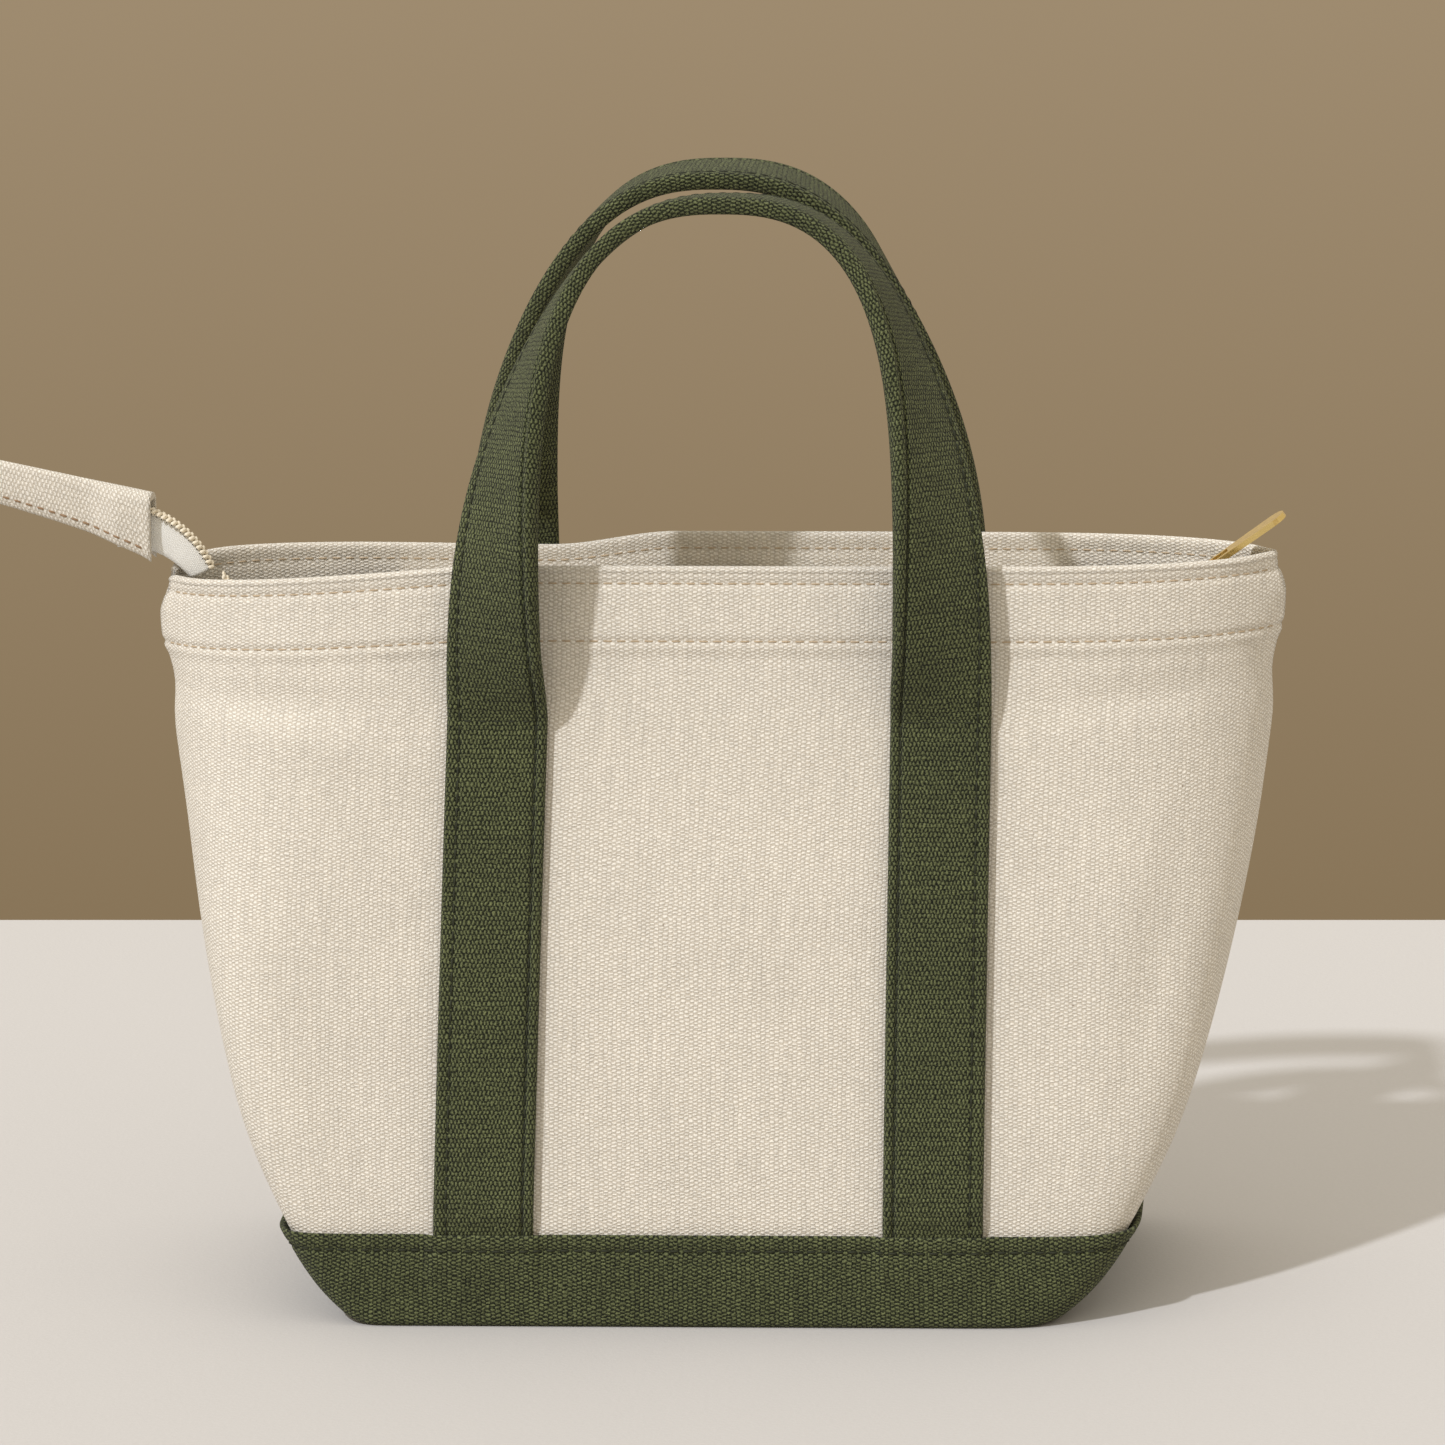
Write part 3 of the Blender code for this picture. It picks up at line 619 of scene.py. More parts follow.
TAB_THREAD = thread("brown_thread", (0.34, 0.22, 0.13))
COIL = coil_plastic()
BRASS = brass()


# Stitching

# The two faces that close an end of a six-sided capsule
CAPSULE_END = ((0, 1, 4, 5), (1, 2, 4, 5))


def six_ways(first, second):
    """Six directions round a circle, for each pair of unit vectors that span its plane."""
    angle = np.arange(6)[:, None] * math.pi / 3
    return np.cos(angle) * first[..., None, :] + np.sin(angle) * second[..., None, :]


def stitch_row(name, path, normals, material, length=0.0026, gap=0.0008, radius=0.00028):
    """A row of thread stitches along a path. Each one dips into the cloth at both ends.
    Normals are a direction for each point of the path, or one for all of them."""
    path = np.asarray(path)
    normals = np.broadcast_to(np.asarray(normals), path.shape)
    along = lengths_along(path)
    count = max(1, int(along[-1] / (length + gap)))
    starts = (np.arange(count) + 0.5) * along[-1] / count
    shares = np.array([-0.5, -0.32, 0.0, 0.32, 0.5])
    rises = np.array([-0.9, 0.35, 0.60, 0.35, -0.9]) * radius
    widths = np.array([0.55, 0.95, 1.0, 0.95, 0.55]) * radius
    places = starts[:, None] + shares[None, :] * length
    centres = sample(places, along, path)
    up = units(sample(places, along, normals))
    sideways = np.cross(units(np.gradient(centres, axis=1)), up)
    centres = centres + up * rises[:, None]
    points = centres[:, :, None, :] + six_ways(sideways, up) * widths[:, None, None]
    return capsule_object(name, points, material)


def capsule_object(name, points, material):
    """Many short capsules in one object: points has a row of six-sided rings for each one."""
    count, rings, sides = points.shape[:3]
    faces = []
    for row in range(rings - 1):
        for k in range(sides):
            low = row * sides
            high = low + sides
            step = (k + 1) % sides
            faces.append((low + k, low + step, high + step, high + k))
    last = (rings - 1) * sides
    for end in CAPSULE_END:
        faces += [end, tuple(last + k for k in end)]
    faces = np.array(faces)
    size = rings * sides
    every = (faces[None, :, :] + (np.arange(count) * size)[:, None, None]).reshape(-1, 4)
    uvs = np.zeros((len(every) * 4, 2))
    return finish_mesh(name, points.reshape(-1, 3), every, uvs, material)


# The canvas body


def hem_lift(z):
    """How far the hem's cloth stands out, with a valley along each row of its stitches."""
    lift = HEM_LIFT * smooth((z - HEM_FOOT) / 0.0040)
    for height in HEM_STITCH_HEIGHTS:
        lift = lift - 0.00055 * bell(z - height, 0.0009)
    return lift


def panel_profile():
    """The heights and offsets of a panel's rows: up the outside, over the rim, down inside."""
    outside = np.concatenate([
        np.linspace(PANEL_FOOT, 0.026, 10),
        np.linspace(0.029, HEM_FOOT - 0.001, 48),
        np.linspace(HEM_FOOT, HEIGHT - RIM_ROLL - 0.0004, 40),
    ])
    profile = [(z, float(hem_lift(z))) for z in outside]
    for turn in np.linspace(0.0, math.pi, 9):
        lift = -0.0001 + RIM_ROLL * math.cos(turn)
        profile.append((HEIGHT - RIM_ROLL * (1.0 - math.sin(turn)), lift))
    inside = np.concatenate([
        np.linspace(HEIGHT - RIM_ROLL - 0.0006, HEM_FOOT + 0.001, 16),
        np.linspace(HEM_FOOT - 0.001, PANEL_FOOT, 22),
    ])
    valley = 0.0004 * bell(inside - HEM_STITCH_HEIGHTS[1], 0.0009)
    return profile + list(zip(inside, valley - CANVAS))


def canvas_panel(name, side, node):
    """One body panel as a closed shell of cloth."""
    columns = 201
    rows = [skin_row(z, offset, side, columns) for z, offset in panel_profile()]
    rows.append(rows[0].copy())
    rows = np.array(rows)
    middle = lengths_along(rows[:, columns // 2])
    uvs = np.zeros((len(rows), columns, 2))
    for i, row in enumerate(rows):
        along = lengths_along(row)
        uvs[i, :, 0] = along - along[-1] / 2
        uvs[i, :, 1] = middle[i]
    item = grid_object(name, rows, uvs, NATURAL)
    shape = bmesh.new()
    shape.from_mesh(item.data)
    bmesh.ops.remove_doubles(shape, verts=shape.verts, dist=1e-6)
    bmesh.ops.holes_fill(shape, edges=shape.edges)
    finish_shape(shape, item.data)
    attach(item, "bag", "canvas", node)


def row_normals(row):
    """Outward directions along a row of skin points."""
    tangents = np.gradient(row, axis=0)
    return units(np.cross(tangents, np.array([0.0, 0.0, 1.0])))


def hem_stitching(side, label):
    """The two rows of stitches round the hem, and the upper row's under side inside the rim."""
    for number, height in enumerate(HEM_STITCH_HEIGHTS):
        row = skin_row(height, float(hem_lift(height)), side, 241)[3:-3]
        normals = row_normals(row) * side
        name = f"{label}_hem_stitches_{number + 1}"
        item = stitch_row(name, row, normals, NATURAL_THREAD, radius=0.00020)
        attach(item, "bag", "canvas")
    row = skin_row(HEM_STITCH_HEIGHTS[1], -CANVAS + 0.0004, side, 241)[8:-8]
    name = f"{label}_rim_stitches_inside"
    item = stitch_row(name, row, -row_normals(row) * side, NATURAL_THREAD, radius=0.00020)
    attach(item, "bag", "canvas")


def closed_loop(z, offset, count=121):
    """A whole horizontal section of the bag as a ring of points."""
    front = resample(front_section(z, offset), count)
    ring = [(x, y, z) for x, y in front] + [(x, -y, z) for x, y in front[::-1]]
    return np.array(ring)


def cover_profile():
    """The heights and offsets of the base cover's rows, from its foot to its turned edge."""
    profile = []
    for turn in np.linspace(0.0, math.pi / 2, 7):
        inset = COVER_FOOT_ROUND * (1.0 - math.sin(turn))
        profile.append((COVER_FOOT_ROUND * (1.0 - math.cos(turn)), COVER_OFFSET - inset))
    for z in np.linspace(COVER_FOOT_ROUND + 0.0008, COVER_HEIGHT - 0.0007, 26):
        fold = 0.0003 * smooth((z - COVER_STITCH_HEIGHT) / 0.001)
        valley = -0.00045 * bell(z - COVER_STITCH_HEIGHT, 0.0008)
        profile.append((z, COVER_OFFSET + fold + valley))
    for turn in np.linspace(0.0, math.pi, 7)[1:]:
        lift = COVER_OFFSET - 0.0004 + 0.0007 * math.cos(turn)
        profile.append((COVER_HEIGHT - 0.0007 * (1.0 - math.sin(turn)), lift))
    for z in np.linspace(COVER_HEIGHT - 0.002, 0.004, 6):
        profile.append((z, 0.0005))
    return profile


def raise_over_straps(ring):
    """Lifts a ring of the cover where it passes over the ends of the four straps."""
    raised = ring.copy()
    for hand in (-1, 1):
        for side in (1, -1):
            z = ring[0, 2]
            centre = hand * STRAP_CENTRE + strap_offset(hand, z, side)
            near = smooth((STRAP_WIDTH / 2 + 0.0025 - np.abs(ring[:, 0] - centre)) / 0.0030)
            near = near * (ring[:, 1] * side < -0.03) * smooth((z - 0.006) / 0.012)
            raised[:, 1] -= side * COVER_RISE * near
    return raised


def base_cover():
    """The green cover: its wall, its flat underside and the stitches below its turned edge."""
    rows, uvs = [], []
    for z, offset in cover_profile():
        ring = raise_over_straps(closed_loop(z, offset, 241))
        rows.append(ring)
        uvs.append(ring_uvs(ring, z, len(ring) // 4))
    wall = grid_object("cover_wall", rows, uvs, GREEN, closed=True)
    attach(wall, "bag", "green_canvas", "base_cover")
    foot = closed_loop(0.0, COVER_OFFSET - COVER_FOOT_ROUND)
    item = disc("cover_floor", foot, (1.0, 0.92, 0.75, 0.5, 0.25, 0.02), GREEN)
    attach(item, "bag", "green_canvas")
    loop = closed_loop(COVER_STITCH_HEIGHT, COVER_OFFSET - 0.00040, 241)
    loop = closing(raise_over_straps(loop))
    normals = row_normals(loop)
    item = stitch_row("cover_stitches", loop, normals, GREEN_THREAD, radius=0.00034)
    attach(item, "bag", "green_canvas")


def inside_pieces():
    """The canvas floor and the bound seam allowances."""
    foot = closed_loop(0.0022, -0.0022)
    shares = (1.0, 0.8, 0.6, 0.4, 0.2, 0.02)
    item = disc("canvas_floor", foot, shares, NATURAL, thickness=0.0013)
    attach(item, "bag", "canvas", "bottom_panel")
    for name, side in (("left", -1), ("right", 1)):
        rows, uvs = [], []
        for z in np.linspace(0.010, 0.158, 60):
            lining = front_section(z, -(CANVAS + GAP))
            right = lining[lining[:, 0] > 0]
            clear = right[right[:, 1] < -0.0014]
            end = float(clear[:, 0].max()) - 0.0004
            wave = 0.0002 * math.sin(z * 300.0)
            shares = np.linspace(0, 1, 6)
            rows.append([(side * (end - SEAM_TAPE_WIDTH * t), wave * t, z) for t in shares])
            uvs.append([(SEAM_TAPE_WIDTH * t, z) for t in shares])
        item = grid_object(f"{name}_seam_tape", rows, uvs, TAPE, thickness=0.0017)
        attach(item, "bag", "binding", f"{name}_seam_binding")


# Straps and handles


def handle_lean(rise):
    """The y of a handle's centre line, from 0 at its foot to 1 at its top, and its slope."""
    foot_y = float(np.interp(
        STRAP_CENTRE, *front_section(STRAP_TOP, GAP + STRAP_THICKNESS / 2).T
    ))
    travel = -HANDLE_TOP_Y - foot_y
    y = foot_y + travel * rise**2 * (3.0 - 2.0 * rise) - HANDLE_BOW * np.sin(math.pi * rise)
    change = travel * 6.0 * rise * (1.0 - rise) - HANDLE_BOW * math.pi * np.cos(math.pi * rise)
    return y, change


def webbing_centres(side):
    """The centre line of one side's strap: up the left, round the handle, down the right."""
    height = HANDLE_RISE[side]
    angle = np.linspace(math.pi, 0.0, 2001)
    power = 2.0 / HANDLE_POWER
    x = STRAP_CENTRE * np.sign(np.cos(angle)) * np.abs(np.cos(angle)) ** power
    rise = np.minimum(1.0, np.abs(np.sin(angle)) ** power)
    swell = HANDLE_BULGE[side] * np.sin(math.pi * rise)
    x += np.sign(x) * swell * np.minimum(1.0, np.abs(x) / 0.030)
    y, _ = handle_lean(rise)
    loop = resample(np.stack([x, y, HANDLE_FOOT + height * rise], axis=1), 190)
    sewn = []
    for z in np.linspace(COVER_HEIGHT - 0.0015, HANDLE_FOOT - 0.0012, 70):
        sewn.append(skin_point(-STRAP_CENTRE, z, 1, GAP + STRAP_THICKNESS / 2))
    sewn = np.array(sewn)
    mirrored = sewn[::-1] * np.array([-1.0, 1.0, 1.0])
    return np.concatenate([sewn, loop, mirrored])


def webbing_frames(side):
    """For each point of a strap's centre line: its place, the way to its inner edge, the way
    its outer face looks, and its thickness."""
    centres = webbing_centres(side)
    rises = np.clip((centres[:, 2] - HANDLE_FOOT) / HANDLE_RISE[side], 0.0, 1.0)
    _, changes = handle_lean(rises)
    tangents = units(np.gradient(centres, axis=0))
    sewn = 1.0 - smooth((centres[:, 2] - 0.147) / 0.024)
    frames = []
    for centre, tangent, rise, change, flat in zip(centres, tangents, rises, changes, sewn):
        turn = math.sin(math.pi / 2 * rise ** HANDLE_TWIST_DELAY[side])
        twist = HANDLE_FOOT_TWIST * (1.0 - flat) + (HANDLE_TOP_TWIST - HANDLE_FOOT_TWIST) * turn
        facing = np.array([0.0, -1.0, change / HANDLE_RISE[side] * (1.0 - flat)])
        facing = units(facing - tangent * facing.dot(tangent))
        inward = np.cross(tangent, facing)
        across = math.cos(twist) * inward + math.sin(twist) * facing
        normal = np.cross(across, tangent)
        thickness = STRAP_THICKNESS + (HANDLE_THICKNESS - STRAP_THICKNESS) * min(1.0, 4 * rise)
        pressed = 1.0 - smooth((centre[2] - COVER_HEIGHT) / 0.006)
        thickness -= STRAP_PRESS * pressed
        stand = HANDLE_STAND * (1.0 - flat) * (1.0 - rise)
        centre = centre + normal * (stand - 0.5 * STRAP_PRESS * pressed)
        centre[0] += strap_offset(centre[0], centre[2], side)
        frames.append((centre, across, normal, thickness))
    mirror = np.array([1.0, side, 1.0])
    return [(c * mirror, a * mirror, n * mirror, t) for c, a, n, t in frames]


def strap_offset(x, z, side):
    """How far a strap stands to the right of its true place. The left one leans as well."""
    lean = LEFT_STRAP_LEAN * min(1.0, max(0.0, (STRAP_TOP - z) / (STRAP_TOP - COVER_HEIGHT)))
    return STRAP_SHIFT[side] - (lean if x < 0.0 else 0.0)


def webbing_profile(thickness):
    """A strap's cross-section: rounded edges, a deep groove where the fold closes near the
    inner edge, and a shallow valley along the outer row of stitches."""
    half = STRAP_WIDTH / 2
    level = thickness / 2
    face = np.concatenate([
        np.linspace(half - 0.0008, INNER_SEAM + 0.0010, 4),
        np.linspace(INNER_SEAM + 0.0007, INNER_SEAM - 0.0007, 7),
        np.linspace(INNER_SEAM - 0.0012, OUTER_SEAM + 0.0012, 12),
        np.linspace(OUTER_SEAM + 0.0008, OUTER_SEAM - 0.0008, 5),
        np.linspace(OUTER_SEAM - 0.0012, -half + 0.0008, 3),
    ])
    groove = 0.0009 * bell(face - INNER_SEAM, 0.00042)
    valley = 0.0003 * bell(face - OUTER_SEAM, 0.0007)
    crown = 0.0002 * (1.0 - (face / half) ** 2)
    outer = [(a, level - g - v + c) for a, g, v, c in zip(face, groove, valley, crown)]
    left_edge = [(-half + 0.0002, level * 0.55), (-half, 0.0), (-half + 0.0002, -level * 0.55)]
    back = [(a, -level) for a in np.linspace(-half + 0.0008, half - 0.0008, 9)]
    right_edge = [(half - 0.0002, -level * 0.55), (half, 0.0), (half - 0.0002, level * 0.55)]
    return np.array(outer + left_edge + back + right_edge)


def webbing(side, label):
    """One side's strap in one piece, blended where it leaves the panel, with its stitches."""
    frames = webbing_frames(side)
    centres = np.array([f[0] for f in frames])
    along = lengths_along(centres)
    rings, uvs = [], []
    for (centre, across, normal, thickness), v in zip(frames, along):
        profile = webbing_profile(thickness)
        rings.append(centre + profile[:, :1] * across + profile[:, 1:] * normal)
        uvs.append(ring_uvs(profile, v))
    strap = grid_object(f"{label}_webbing", rings, uvs, GREEN_ACROSS, closed=True)
    cap_ends(strap, rings)
    pieces = [strap]
    for tag, place, lift in (("inner", INNER_SEAM, -0.00065), ("outer", OUTER_SEAM, -0.00015)):
        path = [c + a * place + n * (t / 2 + lift) for c, a, n, t in frames]
        normals = [n for _, _, n, _ in frames]
        pieces.append(stitch_row(f"{label}_webbing_stitches_{tag}", path, normals, GREEN_THREAD))
    for piece in pieces:
        blend_handle(piece)
    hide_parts(f"{label}_strap_left", f"{label}_strap_right", f"{label}_handle")
    for tag, hand in (("left", -1), ("right", 1)):
        cross = []
        for a in np.linspace(INNER_SEAM - 0.0006, OUTER_SEAM + 0.0004, 20):
            point = skin_point(-STRAP_CENTRE + a, STRAP_TOP - 0.0006, 1, GAP + STRAP_THICKNESS)
            x = strap_offset(hand, STRAP_TOP, side) - hand * point[0]
            cross.append((x, side * point[1], point[2]))
        name = f"{label}_cross_stitches_{tag}"
        up = (0.0, -side, 0.1)
        row = stitch_row(name, cross, up, GREEN_THREAD, length=0.0024, gap=0.0009)
        attach(row, "bag", "green_canvas")


def blend_handle(piece):
    """Bakes the strap piece's placement into its mesh. Its shape follows the bag up to the
    cross-stitching and the handle beyond it.
    """
    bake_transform(piece)


# Zip


def zip_line():
    """The closed zip's ridge from right to left as (x, z, fold), fold being 1 at the tail."""
    flat = [(x, ZIP_HEIGHT, 0.0) for x in np.linspace(ZIP_RIGHT_END, -FLAP_HALF_LENGTH, 60)]
    turn = []
    end_x = TAIL_HINGE_X + ZIP_END_BACK
    end_z = TAIL_HINGE_Z - ZIP_END_BACK
    for step in np.linspace(0.04, 1.0, 25):
        x = -FLAP_HALF_LENGTH + (end_x + FLAP_HALF_LENGTH) * step
        bend = max(0.0, (x - ZIP_LEFT_TURN) / (end_x - ZIP_LEFT_TURN))
        level = ZIP_HEIGHT - float(corner_drop(np.float64(x), ZIP_HEIGHT))
        turn.append((x, level + (end_z - level) * bend**1.4, step))
    return flat + turn


def blend_flap(piece, label, hand, node=""):
    """Bakes a half of the zip top's placement into its mesh. The right half stands for the CAD
    node."""
    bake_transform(piece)
    if node and hand == 1:
        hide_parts(f"{label}_{node}")


def split_halves(line):
    """A line from right to left cut at its middle: (hand, tag, points) for each half."""
    right = [p for p in line if p[0] >= 0.0]
    left = [p for p in line if p[0] < 0.0]
    return ((1, "right", right + left[:1]), (-1, "left", left))


def zip_facing(side, label):
    """The canvas facing sewn to the hem's lining, turned in towards the zip."""
    rows, uvs = [], []
    for x in np.linspace(-FACING_HALF_LENGTH, FACING_HALF_LENGTH, 120):
        low = skin_point(x, ZIP_HEIGHT - 0.0088, 1, -(CANVAS + GAP + 0.0005))
        top = skin_point(x, ZIP_HEIGHT - 0.0012, 1, -(CANVAS + GAP + 0.0005))
        bend = top + np.array([0.0, 0.0008, 0.0011])
        edge = np.array([x, -(FLAP_HINGE_Y + 0.0008), ZIP_HEIGHT])
        points = [low, top, bend, edge]
        line = resample(np.array(points), 14) * np.array([1.0, side, 1.0])
        rows.append(line)
        uvs.append([(v, x) for v in lengths_along(line)])
    item = grid_object(f"{label}_facing_cloth", rows, uvs, NATURAL, thickness=0.0009)
    attach(item, "bag", "canvas", f"{label}_zip_facing")


def zip_strips(side, label):
    """The canvas strips beside the coil, in two halves that meet in the middle."""
    for hand, tag in ((1, "right"), (-1, "left")):
        rows, uvs = [], []
        for x in np.linspace(0.0, hand * FLAP_HALF_LENGTH, 80):
            ys = np.linspace(STRIP_INNER_Y, FLAP_HINGE_Y - GAP, 9)
            crown = 0.0002 * np.sin(np.linspace(0.0, math.pi, 9))
            rows.append([(x, -side * y, ZIP_HEIGHT + c) for y, c in zip(ys, crown)])
            uvs.append([(y, x) for y in ys])
        item = grid_object(f"{label}_strip_{tag}", rows, uvs, NATURAL, thickness=0.0009)
        blend_flap(item, label, hand, "zip_strip")
        path = [(x, -side * (STRIP_INNER_Y + 0.0016), ZIP_HEIGHT + 0.0006)
                for x in np.linspace(0.001, 0.091, 40) * hand]
        name = f"{label}_strip_stitches_{tag}"
        row = stitch_row(name, path, (0.0, 0.0, 1.0), NATURAL_THREAD)
        blend_flap(row, label, hand)


def zip_tapes(side, label):
    """The woven tapes, flat under the strips and folding down towards the tail."""
    for hand, tag, line in split_halves(zip_line()):
        rows, uvs = [], []
        for x, z, fold in line:
            angle = math.radians(80.0) * fold
            room = -skin_point(x, ZIP_HEIGHT, 1, -(CANVAS + GAP))[1] - GAP
            width = min(TAPE_WIDTH, room - 0.0004) if fold == 0.0 else TAPE_WIDTH
            top = z - 0.0009
            row = []
            reaches = width * np.linspace(0.0, 1.0, 7)
            for reach in reaches:
                y = 0.0004 + reach * math.cos(angle)
                row.append((x, -side * y, top - reach * math.sin(angle)))
            rows.append(row)
            uvs.append([(reach, x) for reach in reaches])
        item = grid_object(f"{label}_tape_{tag}", rows, uvs, TAPE, thickness=0.0005)
        blend_flap(item, label, hand, "zip_tape")


def teeth(name, ridge, ups, side):
    """One side of a coil as a row of rounded loops that lie across the ridge."""
    along = lengths_along(ridge)
    count = int(along[-1] / TOOTH_PITCH)
    shift = 0.25 if side == 1 else 0.75
    places = (np.arange(count) + shift) * along[-1] / count
    centre = sample(places, along, ridge)
    up = sample(places, along, ups)
    forward = units(sample(places, along, np.gradient(ridge, along, axis=0)))
    out = np.array([0.0, -side, 0.0])
    reaches = np.array([-0.14, 0.0, 0.40, 0.80, 1.0]) * COIL_WIDTH
    slants = np.array([-0.10, 0.0, 0.10, 0.18, 0.20]) * TOOTH_PITCH
    lifts = np.array([0.35, 0.42, 0.45, 0.30, 0.0]) * 0.0009
    widths = np.array([0.30, 0.46, 0.46, 0.44, 0.25]) * TOOTH_PITCH
    ring = six_ways(forward, up)
    rings = []
    for reach, slant, lift, radius in zip(reaches, slants, lifts, widths):
        middle = centre + out * reach + forward * slant + up * lift
        rings.append(middle[:, None, :] + ring * radius)
    return capsule_object(name, np.stack(rings, axis=1), COIL)


def zip_teeth(side, label):
    """The coil along the zip, in two halves."""
    for hand, tag, line in split_halves(zip_line()):
        ridge = np.array([(x, 0.0, z + 0.0002) for x, z, _ in line])
        ups = np.tile([0.0, 0.0, 1.0], (len(ridge), 1))
        item = teeth(f"{label}_teeth_{tag}", ridge, ups, side)
        blend_flap(item, label, hand, "zip_coil")


# The zip's tail


def tail_ridge(count=40):
    """The tail's ridge in the XZ plane, from the rim corner into the tab."""
    start = np.array([TAIL_HINGE_X - 0.0004, TAIL_HINGE_Z + 0.0004])
    end = np.array([TAB_START - 0.0075, TAIL_HINGE_Z + TAIL_RISE])
    steep = start + np.array([-0.0045, 0.0105])
    level = end + np.array([0.0085, -0.0010])
    points = []
    for t in np.linspace(0.0, 1.0, count):
        a = (1 - t) ** 3
        b = 3 * t * (1 - t) ** 2
        c = 3 * t**2 * (1 - t)
        points.append(a * start + b * steep + c * level + t**3 * end)
    return np.array(points)


def tail_pieces():
    """The two tapes and the coil of the zip's free tail."""
    ridge = tail_ridge()
    tangents = units(np.gradient(ridge, axis=0))
    below = np.stack([-tangents[:, 1], tangents[:, 0]], axis=1)
    for side, label in SIDES:
        rows, uvs = [], []
        for point, down, t in zip(ridge, below, np.linspace(0.0, 1.0, len(ridge))):
            depth = TAIL_TAPE_DEPTH_START
            depth += (TAIL_TAPE_DEPTH_END - TAIL_TAPE_DEPTH_START) * t**0.8
            row = []
            shares = np.linspace(0.0, 1.0, 8)
            for share in shares:
                place = point + down * (0.0004 + depth * share)
                swell = 0.0009 + 0.0005 * math.sin(math.pi * share)
                row.append((place[0], -side * swell, place[1]))
            rows.append(row)
            uvs.append([(depth * share, t * 0.04) for share in shares])
        item = grid_object(f"{label}_tail_cloth", rows, uvs, TAPE, thickness=0.0006)
        attach(item, "zip_tail", "zip_tape", f"{label}_tail_tape")
        line = np.insert(ridge + below * 0.0006, 1, 0.0, axis=1)
        coil = teeth(f"{label}_tail_teeth", line, np.insert(-below, 1, 0.0, axis=1), side)
        attach(coil, "zip_tail", "zip_coil", *(["zip_tail_coil"] if side == 1 else []))


def tab_ring(t):
    """A cross-section of the folded canvas tab: down the front, up inside, and over."""
    top = TAIL_HINGE_Z + TAIL_RISE + 0.0024 + 0.0120 * t
    foot = TAIL_HINGE_Z + 0.0025 + 0.0195 * t**0.8
    mouth = max(0.0, 1.0 - t / 0.28)
    slot = 0.0004 + 0.0026 * min(1.0, mouth * 2.2)
    half = slot + TAB_LAYER
    outer = []
    for share in np.linspace(0.0, 1.0, 12):
        z = foot + (top - half * 0.6 - foot) * share
        valley = bell(share - 0.13, 0.05)
        swell = 0.0004 * math.sin(math.pi * share) - 0.0004 * valley
        outer.append((half + swell - 0.0005 * (share < 0.01), z))
    over = []
    for turn in np.linspace(0.0, math.pi, 9)[1:-1]:
        over.append((half * math.cos(turn), top - half * 0.6 * (1.0 - math.sin(turn))))
    back = [(-y, z) for y, z in outer[::-1]]
    ceiling = top - TAB_LAYER - 0.0005
    inside = [(-slot, foot), (-slot, ceiling), (slot, ceiling), (slot, foot)]
    return [(-y, z) for y, z in outer + over + back + inside]


def end_tab():
    """The canvas tab folded over the zip's end, with its row of stitches."""
    rings, uvs = [], []
    for t in np.linspace(0.0, 1.0, 60):
        x = TAB_START + (TAB_END - TAB_START) * t
        curl = 0.0006 * math.exp(-t / 0.02)
        ring = np.array([(x, y * (1.0 + 30.0 * curl), z) for y, z in tab_ring(t)])
        rings.append(ring)
        uvs.append(ring_uvs(ring, x))
    tab = grid_object("tab_cloth", rings, uvs, NATURAL, closed=True)
    cap_ends(tab, rings)
    attach(tab, "zip_tail", "canvas", "zip_end_tab")
    for side, label in SIDES:
        path = []
        for t in np.linspace(0.03, 0.98, 30):
            ring = tab_ring(t)
            y = abs(ring[1][0]) + 0.0001
            foot = ring[0][1]
            x = TAB_START + (TAB_END - TAB_START) * t
            path.append((x, -side * y, foot + 0.0022))
        name = f"{label}_tab_stitches"
        row = stitch_row(name, path, (0.0, -side, 0.0), TAB_THREAD, length=0.0022)
        attach(row, "zip_tail", "canvas")


# Stage


def view_axes():
    """The camera's forward direction over the floor, and its whole forward direction."""
    flat = Vector((-math.sin(VIEW_AZIMUTH), math.cos(VIEW_AZIMUTH), 0.0))
    forward = flat * math.cos(VIEW_ELEVATION) - Vector((0, 0, math.sin(VIEW_ELEVATION)))
    return flat, forward


def camera():
    """The camera, at the height and side that the bag is seen from."""
    data = bpy.data.cameras.new("camera")
    data.lens = VIEW_LENS
    data.sensor_width = 36.0
    data.clip_start = 0.01
    item = add_object("camera", data)
    _, forward = view_axes()
    item.location = Vector(VIEW_TARGET) - forward * VIEW_DISTANCE
    item.rotation_euler = forward.to_track_quat("-Z", "Y").to_euler()
    bpy.context.scene.camera = item


def floor():
    """A pale surface square to the camera, which ends a little way behind the bag."""
    flat, _ = view_axes()
    right = Vector((flat.y, -flat.x, 0.0))
    far = flat * FLOOR_FAR_EDGE
    near = flat * -4.0
    aside = right * 3.0
    points = [near - aside, near + aside, far + aside, far - aside]
    mesh = bpy.data.meshes.new("surface")
    mesh.from_pydata([tuple(p) for p in points], [], [(0, 1, 2, 3)])
    mesh.materials.append(table_paper())
    item = add_object("surface", mesh)


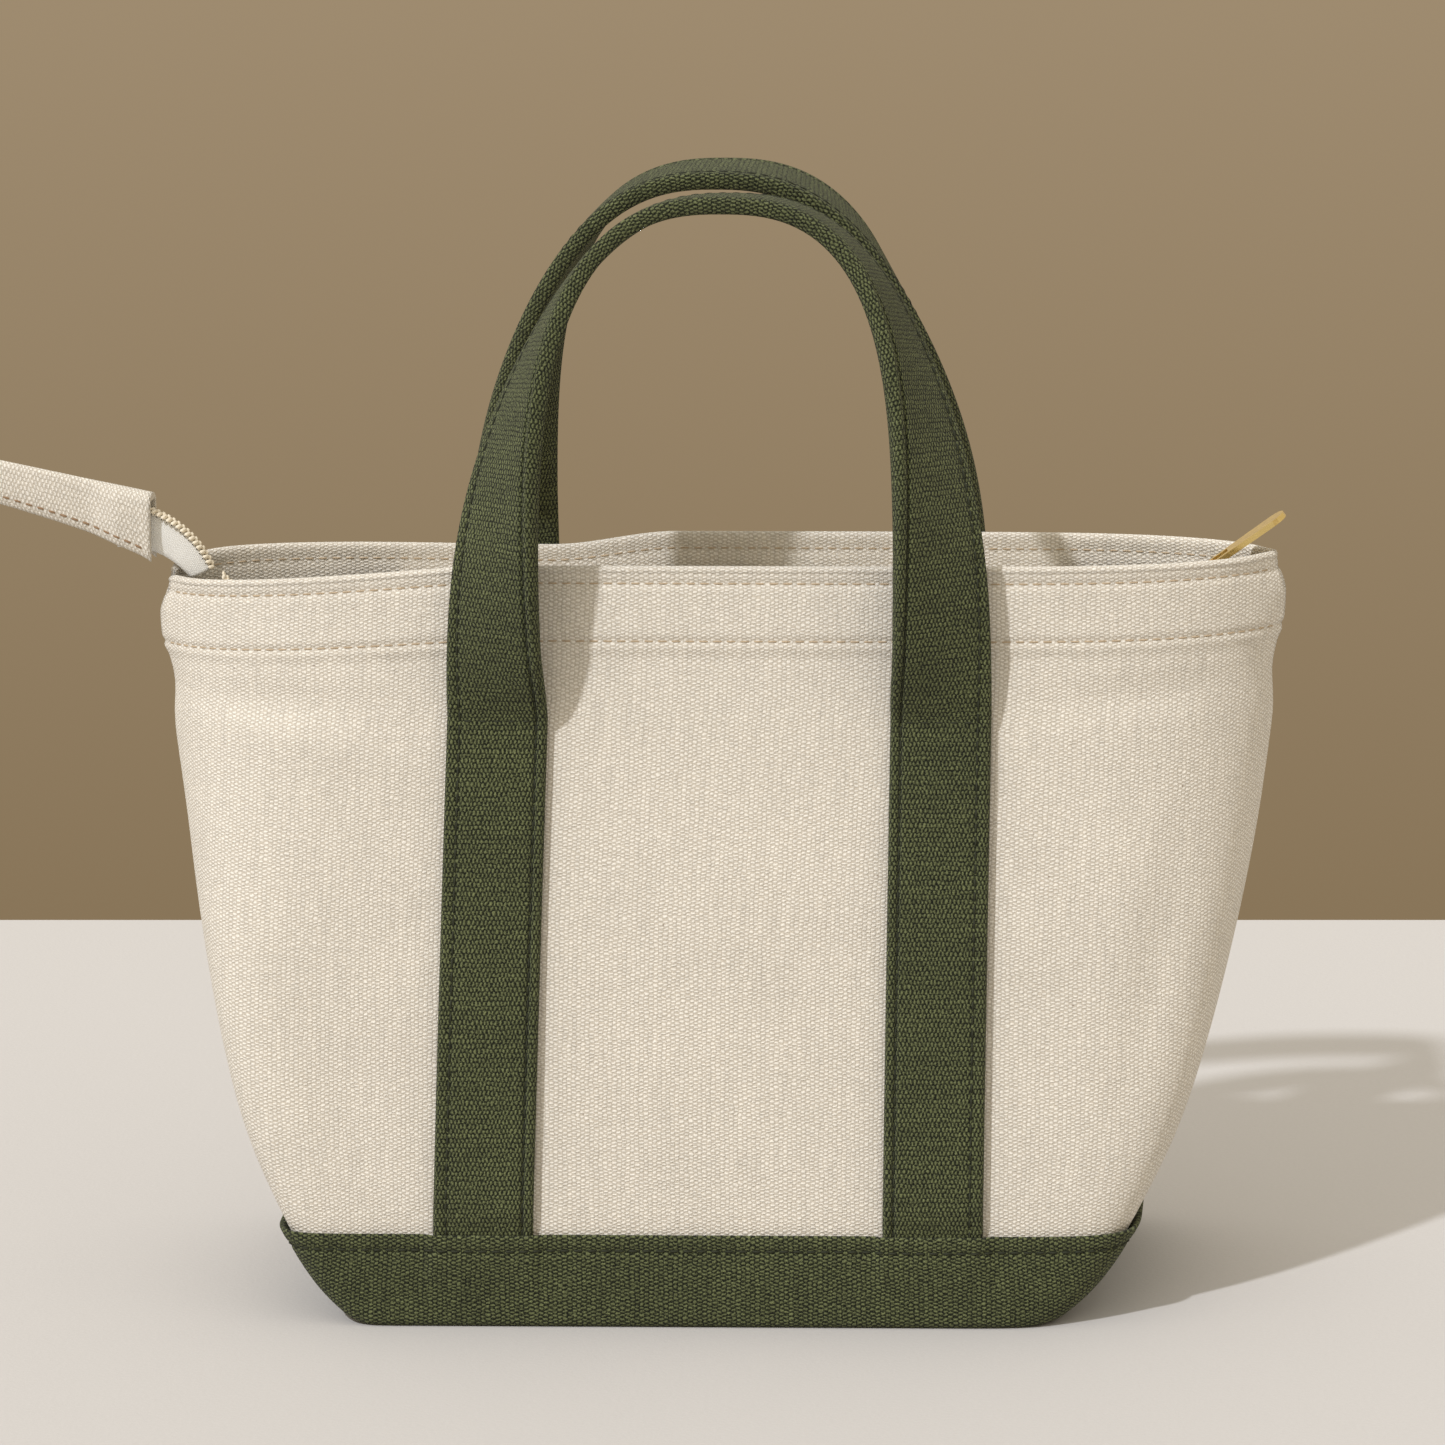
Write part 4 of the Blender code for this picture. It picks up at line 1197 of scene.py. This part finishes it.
def lights():
    """A key light from the upper left front."""
    key = bpy.data.lights.new("key", "SUN")
    key.energy = 2.30
    key.angle = math.radians(2.2)
    key.color = (0.97, 0.99, 1.05)
    item = add_object("key", key)
    level = math.cos(KEY_ELEVATION)
    direction = Vector((
        math.sin(KEY_AZIMUTH) * level,
        math.cos(KEY_AZIMUTH) * level,
        -math.sin(KEY_ELEVATION),
    ))
    item.rotation_euler = direction.to_track_quat("-Z", "Y").to_euler()


def world():
    """Soft light all round, brighter overhead, and a plain tan studio wall behind the bag."""
    graph = Graph(bpy.data.worlds.new("studio"))
    height = graph.add("ShaderNodeSeparateXYZ", {0: graph.solid["Generated"]}).outputs[2]
    climb = graph.add("ShaderNodeMapRange", {0: height, 1: -0.235, 2: -0.08}).outputs[0]
    wall = graph.mix(climb, (0.245, 0.176, 0.098, 1.0), (0.342, 0.257, 0.160, 1.0))
    overhead = graph.add("ShaderNodeMapRange", {0: height, 1: -0.1, 2: 0.8}).outputs[0]
    fill = graph.mix(overhead, (0.50, 0.37, 0.19, 1.0), (1.06, 1.00, 0.90, 1.0))
    seen = graph.add("ShaderNodeBackground", {0: wall}).outputs[0]
    around = graph.add("ShaderNodeBackground", {0: fill}).outputs[0]
    ray = graph.add("ShaderNodeLightPath").outputs["Is Camera Ray"]
    both = graph.add("ShaderNodeMixShader", {0: ray, 1: around, 2: seen}).outputs[0]
    graph.add("ShaderNodeOutputWorld", {0: both})
    bpy.context.scene.world = graph.owner


def main():
    bpy.context.scene.view_settings.view_transform = "Standard"
    camera()
    floor()
    lights()
    world()
    for side, label in SIDES:
        canvas_panel(f"{label}_canvas", side, f"{label}_panel")
        hem_stitching(side, label)
        webbing(side, label)
        zip_facing(side, label)
        zip_strips(side, label)
        zip_tapes(side, label)
        zip_teeth(side, label)
    base_cover()
    inside_pieces()
    tail_pieces()
    end_tab()
    for name in ("slider_body", "slider_bail", "pull_tab"):
        for worn in frame["nodes"][name].material_slots:
            worn.material = BRASS


main()
